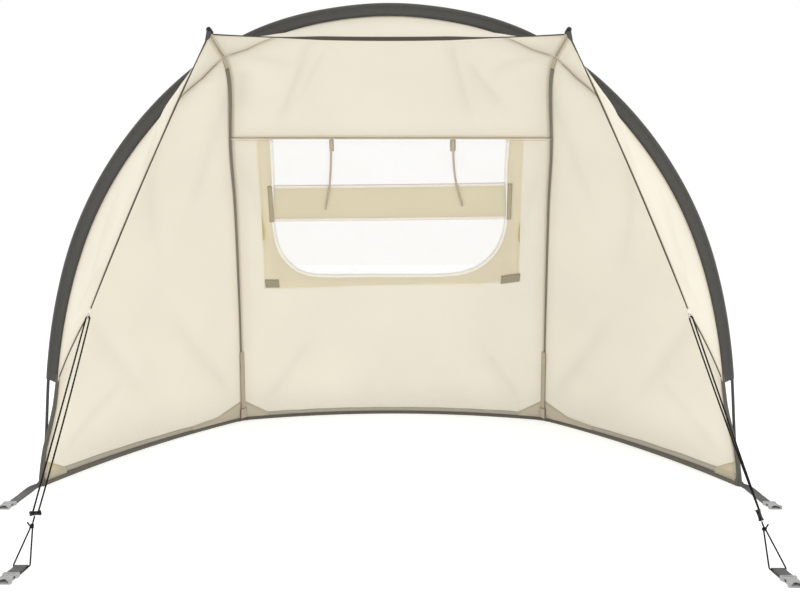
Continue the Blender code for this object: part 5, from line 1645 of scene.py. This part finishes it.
def webbing(name, rows, side, uv, nodes=(), thickness=WEBBING, by_row=False):
    """Webbing through rows of points, marked from edge to edge for its worn borders."""
    marks = np.linspace(-1.0, 1.0, rows.shape[0 if by_row else 1])
    across = np.broadcast_to(marks[:, None] if by_row else marks, rows.shape[:2])
    mesh = grid_mesh(name, mirrored(rows, side), uv, {"across": across.copy()})
    sheet(name, mesh, thickness, "webbing", nodes)


def deselect():
    for thing in list(bpy.context.selected_objects):
        thing.select_set(False)


def take_new(name):
    """Names the new primitive and puts its place and size into its mesh."""
    piece = bpy.context.object
    piece.name = piece.data.name = name
    bpy.ops.object.transform_apply(location=True, rotation=True, scale=True)
    return piece


def box(name, size, place=(0.0, 0.0, 0.0)):
    deselect()
    bpy.ops.mesh.primitive_cube_add(size=1.0, location=place, scale=size)
    return take_new(name)


def drum(name, radius, depth, place, sides=20):
    deselect()
    bpy.ops.mesh.primitive_cylinder_add(vertices=sides, radius=radius, depth=depth,
                                        location=place)
    return take_new(name)


def pick(piece, test):
    """Enters edit mode with only the faces that pass a test selected."""
    if piece.mode != "EDIT":
        bpy.ops.object.mode_set(mode="EDIT")
        bpy.ops.mesh.select_mode(type="FACE")
    bpy.ops.mesh.select_all(action="DESELECT")
    bm = bmesh.from_edit_mesh(piece.data)
    for face in bm.faces:
        if test(face.calc_center_median(), face.normal):
            face.select_set(True)
    bmesh.update_edit_mesh(piece.data)


def slice_at(axis, places):
    """Cuts the mesh being edited across one axis at several places."""
    normal = tuple(float(i == axis) for i in range(3))
    for place in places:
        bpy.ops.mesh.select_all(action="SELECT")
        bpy.ops.mesh.bisect(plane_co=tuple(place * n for n in normal), plane_no=normal)


def apply_all(piece):
    """Applies the piece's modifiers in order."""
    if piece.mode == "EDIT":
        bpy.ops.object.mode_set(mode="OBJECT")
    deselect()
    piece.select_set(True)
    bpy.context.view_layer.objects.active = piece
    for step in list(piece.modifiers):
        bpy.ops.object.modifier_apply(modifier=step.name)


def rounded(piece, width, segments=3, angle=math.radians(32)):
    """Rounds the piece's corners and smooths what is left."""
    soft = piece.modifiers.new("Rounded", "BEVEL")
    soft.width = width
    soft.segments = segments
    soft.limit_method = "ANGLE"
    soft.angle_limit = angle
    apply_all(piece)
    bpy.ops.object.shade_smooth_by_angle(angle=math.radians(40))


def bored(piece, tool):
    """Cuts one solid out of another and removes the tool."""
    cut = piece.modifiers.new("Bore", "BOOLEAN")
    cut.object = tool
    cut.solver = "EXACT"
    apply_all(piece)
    discard(tool)
    return piece


def set_in(piece, name, origin, x_way, y_way, z_way):
    """A copy of a piece with its own mesh, set in the frame by its origin and axes."""
    copy = piece.copy()
    copy.data = piece.data.copy()
    copy.name = copy.data.name = free_name(name)
    turn = Matrix([[*row, place] for row, place in
                   zip(np.column_stack([x_way, y_way, z_way]).tolist(),
                       (np.asarray(origin) + (0.0, FRONT_LINE_Y, 0.0)).tolist())]
                  + [[0.0, 0.0, 0.0, 1.0]])
    copy.data.transform(turn)
    if turn.determinant() < 0:
        copy.data.flip_normals()
    bpy.context.scene.collection.objects.link(copy)
    return copy


def discard(piece):
    bpy.data.objects.remove(piece, do_unlink=True)


class CANOPY_OT_rods(bpy.types.Operator):
    """Bends the three glass-fibre rods and ties them where they cross"""

    bl_idname = "canopy.rods"
    bl_label = "Rods"

    def execute(self, context):
        foot = Path(LINES.arch_rod)
        low, high = foot.share_where(2, 0.0028), 1 - foot.share_where(2, 0.0028)
        round_bar("arch_rod", foot.at(np.linspace(low, high, 260)), ROD_RADIUS, "rod",
                  ("arch_rod",), sides=16)
        for side, word in SIDES:
            line = Path(mirrored(LINES.rear_rod, side)).at(np.linspace(0.0, 1.0, 150))
            round_bar(f"rear_rod_{word}", line, ROD_RADIUS, "rod", (f"rear_rod_{word}",),
                      sides=16)
            self.crossing(side, word)
        return {"FINISHED"}

    def crossing(self, side, word):
        """Nearly three turns of cord round both rods where they cross."""
        k, r = LINES.k, LINES.r
        top, under = LINES.arch_rod[k], LINES.rear_rod[r]
        middle, stack = (top + under) / 2, unit(top - under)
        arch_way = unit(LINES.arch_rod[k + 1] - LINES.arch_rod[k - 1])
        rear_way = unit(LINES.rear_rod[r + 1] - LINES.rear_rod[r - 1])
        skew, other = unit(arch_way - rear_way), unit(arch_way + rear_way)
        tall, wide = TIE_RADII
        line = middle + arc(stack * tall, skew * wide, 0.0, 2 * math.pi * TIE_TURNS, 90)
        line += other * np.linspace(-TIE_SPREAD, TIE_SPREAD, 90)[:, None]
        round_bar(f"crossing_tie_{word}", mirrored(line, side), THIN_CORD, "guy cord",
                  (f"crossing_tie_{word}",))


class CANOPY_OT_feet(bpy.types.Operator):
    """Sews the webbing pockets that hold the rods' feet"""

    bl_idname = "canopy.feet"
    bl_label = "Rod pockets"

    def execute(self, context):
        arch_out = LINES.arch_rod[0] - LINES.arch_seam[0]
        rear_out = LINES.rear_rod[0] - LINES.rear_seam[0]
        for side, word in SIDES:
            self.pocket(f"corner_cup_{word}", LINES.arch_rod, arch_out, 0.0074, side)
            self.pocket(f"rear_cup_{word}", LINES.rear_rod, rear_out, 0.0046, side)
        return {"FINISHED"}

    def pocket(self, name, rod, out, near, side):
        """A folded loop of webbing round the rod's foot, closed below."""
        rise = rod[2] - rod[0]
        lean = rise / rise[2]
        base = rod[0] - lean * rod[0][2]
        out = unit([out[0], out[1], 0.0])
        along = np.array([-out[1], out[0], 0.0])
        deep, wide = CUP_INSIDE
        ring = arc((deep, 0.0), (0.0, wide), -0.62 * math.pi, 0.62 * math.pi, 19)
        ring = [(-near, -0.0066), *ring, (-near, 0.0066)]
        rows = np.array([[base + out * a * (1.0 if z > 0.004 else 0.94) + along * b + lean * z
                          for a, b in ring] for z in CUP_HEIGHTS])
        webbing(name, rows, side, metric(rows)[..., ::-1], (name,), CUP, by_row=True)
        sole = box(f"{name}_sole", (0.0112, 0.0126, SOLE))
        rounded(sole, 0.0005, 2)
        floor = set_in(sole, f"{name}_floor", mirrored(base + (0, 0, 0.0011), side),
                       mirrored(out, side), mirrored(along, side), (0, 0, 1))
        discard(sole)
        dress(floor, "black plastic")


class CANOPY_OT_tips(bpy.types.Operator):
    """Finishes the visor's two front tips with rod caps, tabs and a ring"""

    bl_idname = "canopy.tips"
    bl_label = "Visor tips"

    def execute(self, context):
        radius, length = CAP
        cap = drum("cap_start", radius, length, (0, 0, length / 2), sides=24)
        pick(cap, lambda centre, normal: normal.z > 0.9)
        for shrink, step in CAP_DOME:
            bpy.ops.mesh.extrude_region_move(TRANSFORM_OT_translate={"value": (0, 0, step)})
            bpy.ops.transform.resize(value=(shrink, shrink, 1.0))
        rounded(cap, 0.0006, 2)
        bored(cap, drum("cap_bore", CAP_BORE, 0.0280, (0, 0, 0.0)))
        along = unit(LINES.rear_rod[-1] - LINES.rear_rod[-2])
        place = LINES.rear_rod[-1] - along * CAP_BACK
        x_way = unit(np.cross((0.0, 0.0, 1.0), along))
        y_way = np.cross(along, x_way)
        for side, word in SIDES:
            made = set_in(cap, f"tip_cap_{word}", mirrored(place, side), mirrored(x_way, side),
                          mirrored(y_way, side), mirrored(along, side))
            dress(made, "black plastic", (f"tip_cap_{word}",))
            self.tab(side, word, along)
        discard(cap)
        return {"FINISHED"}

    def tab(self, side, word, along):
        """Webbing folded over the corner under the cap, and a small ring on the left."""
        tip, visor = LINES.tip, LINES.visor_side
        down = unit(visor[-8] - visor[-1])
        inward = unit(LINES.visor_top[6] - LINES.visor_top[0])
        top = LINES.rear_rod[-1] - along * 0.004 + np.array([0.0, -0.0052, 0.0])
        low, outer = tip + down * 0.021, top - inward * 0.004
        to_knee = 0.6 * (tip + inward * 0.014 + (0, 0, 0.002) - low)
        to_top = top + inward * 0.0045 - low - to_knee
        rows = []
        for v in np.linspace(0.0, 1.0, 7):
            left = low + v * (outer - low)
            right = low + min(v / 0.6, 1.0) * to_knee + max(v - 0.6, 0.0) / 0.4 * to_top
            rows.append([left + u * (right - left) + np.array([0, -0.0022, 0]) * (1 - u * u)
                         for u in np.linspace(0.0, 1.0, 6)])
        rows = np.array(rows) + (0.0, -0.0016, 0.0)
        webbing(f"tip_tab_{word}", rows, side, metric(rows))
        if side < 0:
            centre = mirrored(top + (0.0005, -0.0010, 0.0030), side)
            ring = arc((1.0, 0.0, 0.0), (0.0, 0.25, 1.0), 0.0, 2.02 * math.pi, 40)
            round_bar("tip_ring_left", centre + TIP_RING * ring, RING_CORD, "guy cord")


class Guy:
    """One guy line: its axes at the pull point, and the places along it."""

    def __init__(self, word):
        self.top, self.foot = np.array(PULL_POINT), np.array(GUY_FEET[word])
        self.run = self.foot - self.top
        self.way = unit(self.run)
        self.level = unit(np.cross(self.way, (0.0, -0.6, 0.8)))
        rise = np.cross(self.way, self.level)
        turn = STRAND_TURN if word == "right" else 0.0
        self.across = self.level * math.cos(turn) + rise * math.sin(turn)
        self.third = np.cross(self.way, self.across)
        slanted = self.across * math.cos(SLIDER_SLANT) - self.way * math.sin(SLIDER_SLANT)
        self.slider = self.way if word == "right" else (slanted * math.cos(SLIDER_TURN)
                                                        + self.third * math.sin(SLIDER_TURN))
        self.face = square_to(self.third, self.slider)
        self.fold = np.array([self.foot[0], self.foot[1], FOLD_RADIUS + 0.00085])

    def at(self, share):
        return self.top + self.run * share


class CANOPY_OT_guys(bpy.types.Operator):
    """Runs each guy line from its pull loop through the slider to its webbing foot"""

    bl_idname = "canopy.guys"
    bl_label = "Guy lines"

    def execute(self, context):
        slider = self.slider()
        for side, word in SIDES:
            guy = Guy(word)
            self.pull_loop(guy, side, word)
            self.strands(guy, side, word)
            made = set_in(slider, f"guy_adjuster_{word}", mirrored(guy.at(ADJUSTER_SHARE), side),
                          mirrored(guy.slider, side),
                          mirrored(np.cross(guy.face, guy.slider), side),
                          mirrored(guy.face, side))
            dress(made, "black plastic", (f"guy_adjuster_{word}",))
            self.knot_and_loop(guy, side, word)
            self.foot_webbing(guy, side, word)
        discard(slider)
        return {"FINISHED"}

    def slider(self):
        """A flat line slider with a waist and two holes for the strands."""
        length = ADJUSTER[0]
        piece = box("slider_start", ADJUSTER)
        pick(piece, lambda centre, normal: False)
        slice_at(0, (-length * 0.22, length * 0.22))
        for sign in (1, -1):
            pick(piece, lambda centre, normal: normal.y * sign > 0.9 and abs(centre.x) < length / 5)
            bpy.ops.transform.translate(value=(0.0, -sign * 0.0016, 0.0))
        rounded(piece, 0.0013, 3)
        for share in HOLE_SHARES:
            bored(piece, drum("slider_bore", 0.0021, 0.02, (length * share, 0.0, 0.0), sides=16))
        return piece

    def pull_loop(self, guy, side, word):
        """A pale cord loop sewn to the visor's edge."""
        long, wide = PULL_RADII
        ring = arc(guy.way * long, guy.third * wide, 0.0, 2.03 * math.pi, 40)
        ring += guy.top + guy.way * PULL_MIDDLE
        round_bar(f"pull_tab_{word}", mirrored(ring, side), THIN_CORD, "pull loop",
                  (f"pull_tab_{word}",))
        visor = visor_grid()
        row = VISOR_LOW
        edge, normal = visor[row, -1], outward(visor)[row, -1]
        down = unit(visor[row - 3, -1] - edge)
        patch = np.linspace(edge - down * 0.011, edge + down * 0.011, 9)
        into = unit(visor[row, -2] - edge)
        tape(f"pull_bar_{word}", mirrored(patch + into * 0.002, side), mirrored(normal, side),
             0.0046, 0.0017, "window binding", folded=True)

    def strands(self, guy, side, word):
        """The doubled cord, turned over the pull loop, down to the slider."""
        turn = BEND_RADIUS * arc(guy.across, -guy.way, 0.0, math.pi, 13)
        turn += guy.top + guy.way * CORD_BEND
        down = np.linspace(0.0, 1.0, 40)[1:]
        sag = np.array([0.0, 0.0, -0.004])
        over = guy.face * (ADJUSTER[2] / 2 + CORD_RADIUS * 0.8)
        legs = []
        for sign, start, share in ((1, turn[0], HOLE_SHARES[0]), (-1, turn[-1], HOLE_SHARES[1])):
            hole = guy.at(ADJUSTER_SHARE) + guy.slider * ADJUSTER[0] * share
            stop = hole + over
            sway = guy.across * sign * 0.0011
            leg = [start + t * (stop - start) + sag * 4 * t * (1 - t)
                   + sway * math.sin(math.pi * t) for t in down]
            legs.append([*leg, hole + over * 0.4, hole - over * 0.9])
        line = [*legs[0][::-1], *turn, *legs[1]]
        round_bar(f"guy_line_{word}", mirrored(line, side), CORD_RADIUS, "guy cord",
                  (f"guy_line_{word}",), sides=10)

    def knot_and_loop(self, guy, side, word):
        """An overhand knot with a short tail, and the loop that holds the webbing."""
        knot, fold = guy.at(KNOT_SHARE), guy.fold
        start = guy.at(ADJUSTER_SHARE) + guy.way * (0.0128 if side > 0 else 0.0056)
        reach = WEBBING_WIDTH / 2 + CORD_RADIUS + LEG_GAP
        rise = unit(knot - fold)
        legs = []
        for sideways in (np.array([1.0, 0.0, 0.0]), np.array([-1.0, 0.0, 0.0])):
            low = fold + sideways * (reach + 0.0004) + rise * 0.004
            legs.append([*np.linspace(knot + sideways * 0.0022 + guy.way * 0.003, low, 10),
                         fold + sideways * reach + rise * 0.0012,
                         fold + sideways * (reach - 0.003) - rise * 0.0006,
                         fold + sideways * 0.006])
        loop = [start, start + (knot - start) * 0.5, knot, *legs[0], *legs[1][::-1]]
        round_bar(f"guy_loop_{word}", mirrored(loop, side), LOOP_CORD, "guy cord",
                  (f"guy_loop_{word}",), sides=10)
        twist = [knot + KNOT_SIZE * (guy.across * (math.sin(t) + 2 * math.sin(2 * t))
                                     + guy.way * 1.25 * (math.cos(t) - 2 * math.cos(2 * t))
                                     - guy.third * 1.2 * math.sin(3 * t))
                 for t in np.linspace(0.0, 2.02 * math.pi, 60)]
        round_bar(f"guy_knot_{word}", mirrored(twist, side), KNOT_CORD, "guy cord")
        out = unit(guy.level * -0.9 - guy.way * 0.55)
        tail = [knot + out * d + guy.way * 0.001 * math.sin(d * 300)
                for d in np.linspace(0.001, 0.0135, 8)]
        radius = [KNOT_CORD] * 6 + [0.0017, THIN_CORD]
        round_bar(f"guy_tail_{word}", mirrored(tail, side), radius, "guy cord")

    def foot_webbing(self, guy, side, word):
        """Webbing folded round the loop; its two legs lie one on the other to the buckle."""
        turn = arc((0.0, -FOLD_RADIUS), (FOLD_RADIUS, 0.0), 0.0, math.pi, 9)
        legs = np.linspace(FOLD_LENGTH, 0.0, 6)[:-1]
        upper = [(-y, FOLD_RADIUS - 0.0012 * math.sin(math.pi * y / FOLD_LENGTH))
                 for y in legs[::-1]]
        profile = [*[(-y, -FOLD_RADIUS) for y in legs], *turn, *upper]
        rows = np.array([[guy.fold + (x, y, z) for x in WEBBING_WIDTH / 2 * np.linspace(-1, 1, 7)]
                         for y, z in profile])
        name = f"guy_webbing_{word}"
        webbing(name, rows, side, metric(rows)[..., ::-1], (name,))


class CANOPY_OT_straps(bpy.types.Operator):
    """Twists a webbing strap from each front corner down to its buckle"""

    bl_idname = "canopy.straps"
    bl_label = "Corner straps"

    def execute(self, context):
        route = smooth(STRAP_ROUTE, 16)
        along = tangents(np.column_stack([route, np.zeros(len(route))]))
        level = np.cross((0.0, 0.0, 1.0), along)
        share = np.linspace(0.0, 1.0, len(route))
        turn = STRAP_TURN * (1 - ease(share / 0.72))
        half = WEBBING_WIDTH / 2 * (0.40 + 0.60 * ease(share / 0.75))
        lift = 0.0008 + half * np.sin(turn) + 0.0012 * np.sin(math.pi * share)
        rows = []
        for point, way, angle, up, wide in zip(route, level, turn, lift, half):
            across = way * math.cos(angle) + np.array([0, 0, 1.0]) * math.sin(angle)
            rows.append([np.array([*point, up]) + across * wide * s
                         for s in np.linspace(-1.0, 1.0, 7)])
        rows = np.array(rows)
        for side, word in SIDES:
            name = f"corner_strap_{word}"
            webbing(name, rows, side, metric(rows)[..., ::-1], (name,))
            self.gusset(side, word)
        return {"FINISHED"}

    def gusset(self, side, word):
        """A dark three-cornered piece that sews the strap to the corner."""
        start, end = np.array(GUSSET)
        rows = np.array([[start + share * (end - start) + (0, 0, up * (1.04 - share))
                          for share in np.linspace(0.0, 1.0, 8)]
                         for up in GUSSET_HEIGHT * np.linspace(0.0, 1.0, 6)])
        name = f"corner_gusset_{word}"
        mesh = grid_mesh(name, mirrored(rows, side), metric(rows),
                         {"across": np.zeros(rows.shape[:2])})
        sheet(name, mesh, WEBBING, "lower binding")


class CANOPY_OT_buckles(bpy.types.Operator):
    """Moulds the four side-release buckle sockets"""

    bl_idname = "canopy.buckles"
    bl_label = "Buckles"

    def execute(self, context):
        socket = self.socket()
        for side, word in SIDES:
            guy_rear = Guy(word).fold + (0.0, -FOLD_LENGTH - 0.0003, 0.0)
            for kind, rear in (("guy", guy_rear), ("corner", CORNER_BUCKLE)):
                name = f"{kind}_buckle_{word}"
                place = mirrored([rear[0], rear[1], 0.0], side)
                made = set_in(socket, name, place, (side, 0, 0), (0, 1, 0), (0, 0, 1))
                dress(made, "grey plastic", (name,))
        discard(socket)
        return {"FINISHED"}

    def socket(self):
        """One socket: its rear edge at the origin, its mouth forward, its foot on the floor."""
        long, tall = SOCKET[1:]
        low, high = MOUTH_HEIGHTS
        slot, window, waist = (-0.0062, -0.0035), (-0.0250, -0.0150), (-0.0255, -0.0105)
        piece = box("socket_start", SOCKET, (0.0, -long / 2, tall / 2))
        pick(piece, lambda centre, normal: False)
        slice_at(1, (slot[1], slot[0], -0.0110, window[1], window[0], -0.0290))
        slice_at(0, (-MOUTH, MOUTH))
        slice_at(2, (low, high))
        for sign in (1, -1):
            # The waist, then the side windows where the prongs show
            pick(piece, lambda centre, normal: normal.x * sign > 0.9
                 and waist[0] < centre.y < waist[1])
            bpy.ops.transform.translate(value=(-sign * 0.0036, 0.0, 0.0))
            pick(piece, lambda centre, normal: normal.x * sign > 0.5
                 and window[0] < centre.y < window[1] and low < centre.z < high)
            bpy.ops.mesh.extrude_region_move(
                TRANSFORM_OT_translate={"value": (-sign * 0.0050, 0.0, 0.0)})
        # The mouth
        pick(piece, lambda centre, normal: normal.y < -0.9 and abs(centre.x) < MOUTH
             and low < centre.z < high)
        bpy.ops.mesh.extrude_region_move(TRANSFORM_OT_translate={"value": (0.0, 0.0200, 0.0)})
        # The slot for the webbing
        pick(piece, lambda centre, normal: abs(normal.z) > 0.9 and abs(centre.x) < MOUTH
             and slot[0] < centre.y < slot[1] and (centre.z < 0.001 or centre.z > 0.0075))
        bpy.ops.mesh.bridge_edge_loops()
        # The sunk field on top
        pick(piece, lambda centre, normal: normal.z > 0.9 and centre.z > 0.0080
             and abs(centre.x) < MOUTH and window[0] < centre.y < window[1])
        bpy.ops.mesh.inset(thickness=0.0012)
        bpy.ops.transform.translate(value=(0.0, 0.0, -0.0007))
        pick(piece, lambda centre, normal: True)
        bpy.ops.mesh.normals_make_consistent(inside=False)
        rounded(piece, 0.0008, 3, math.radians(28))
        return bored(piece, drum("socket_notch", 0.0082, 0.0060, (0.0, -long - 0.0008, tall),
                                 sides=28))


class CANOPY_OT_stage(bpy.types.Operator):
    """Sets the camera, the pale floor and the soft light"""

    bl_idname = "canopy.stage"
    bl_label = "Stage"

    def execute(self, context):
        stage = settings("stage")
        deselect()
        bpy.ops.object.camera_add(location=stage.eye,
                                  rotation=(math.radians(90) - stage.pitch, 0.0, 0.0))
        camera = context.object
        camera.name = "photo_view"
        camera.data.lens = stage.lens
        camera.data.sensor_width = 36.0
        context.scene.camera = camera
        context.scene.view_settings.view_transform = "Standard"
        self.floor()
        self.sky(stage.sky)
        for name, values in LAMPS.items():
            self.lamp(name, *values)
        return {"FINISHED"}

    def floor(self):
        deselect()
        bpy.ops.mesh.primitive_plane_add(size=60.0, location=(0.0, 0.0, -0.0003))
        floor = take_new("studio_floor")
        made, tree, shader = start_finish("Studio floor")
        place = put(tree, "ShaderNodeTexCoord").outputs["Object"]
        mottle = effect(tree, "Mottle", Vector=place, Size=0.8)
        wire(tree, shader, tinted(tree, (0.55, 0.55, 0.55, 1.0), mottle["Tone"], 0.01), 0.9, None,
             specular=0.0)
        shader.inputs["Emission Color"].default_value = (1.0, 1.0, 1.0, 1.0)
        shader.inputs["Emission Strength"].default_value = FLOOR_GLOW
        floor.data.materials.append(made)

    def sky(self, strength):
        world = bpy.data.worlds.new("Studio surround")
        bpy.context.scene.world = world
        world.use_nodes = True
        tree = world.node_tree
        seen = put(tree, "ShaderNodeLightPath").outputs["Is Camera Ray"]
        level = ranged(tree, seen, strength, 1.0)
        ground = tree.nodes["Background"]
        ground.inputs["Color"].default_value = (1.0, 1.0, 1.0, 1.0)
        tree.links.new(level, ground.inputs["Strength"])

    def lamp(self, name, place, aim, size, power, colour):
        data = bpy.data.lights.new(name, "AREA")
        data.size = size
        data.energy = power
        data.color = colour
        lamp = bpy.data.objects.new(name, data)
        bpy.context.scene.collection.objects.link(lamp)
        lamp.location = place
        lamp.rotation_euler = (Vector(aim) - Vector(place)).to_track_quat("-Z", "Y").to_euler()


STEPS = (CANOPY_OT_stage, CANOPY_OT_window_ties, CANOPY_OT_panels, CANOPY_OT_seams,
         CANOPY_OT_sleeves, CANOPY_OT_hems, CANOPY_OT_bindings, CANOPY_OT_window,
         CANOPY_OT_rods, CANOPY_OT_feet, CANOPY_OT_tips, CANOPY_OT_guys, CANOPY_OT_straps,
         CANOPY_OT_buckles)
GROUPS = {"cloth": CanopyClothSettings, "trim": CanopyTrimSettings,
          "window": CanopyWindowSettings, "guy": CanopyGuySettings,
          "stage": CanopyStageSettings}


class CANOPY_PT_sidebar(bpy.types.Panel):
    """Lists the sizes, the colours and the steps"""

    bl_idname = "CANOPY_PT_sidebar"
    bl_label = "Hot tub canopy"
    bl_space_type = "VIEW_3D"
    bl_region_type = "UI"
    bl_category = "Canopy"

    def draw(self, context):
        layout = self.layout
        for word in GROUPS:
            group = settings(word)
            part = layout.box()
            part.label(text=word.capitalize())
            for name in group.bl_rna.properties.keys():
                if name not in ("rna_type", "name"):
                    part.prop(group, name)
        for step in STEPS:
            layout.operator(step.bl_idname)


def register():
    for part in (*GROUPS.values(), *STEPS, CANOPY_PT_sidebar):
        bpy.utils.register_class(part)
    for word, group in GROUPS.items():
        setattr(bpy.types.Scene, f"canopy_{word}", bpy.props.PointerProperty(type=group))


def unregister():
    for word in GROUPS:
        delattr(bpy.types.Scene, f"canopy_{word}")
    for part in (CANOPY_PT_sidebar, *STEPS[::-1], *list(GROUPS.values())[::-1]):
        bpy.utils.unregister_class(part)


def main():
    register()
    for step in STEPS:
        area, word = step.bl_idname.split(".")
        if "FINISHED" not in getattr(getattr(bpy.ops, area), word)():
            raise RuntimeError(f"{step.bl_label} did not finish")


if __name__ == "__main__":
    main()
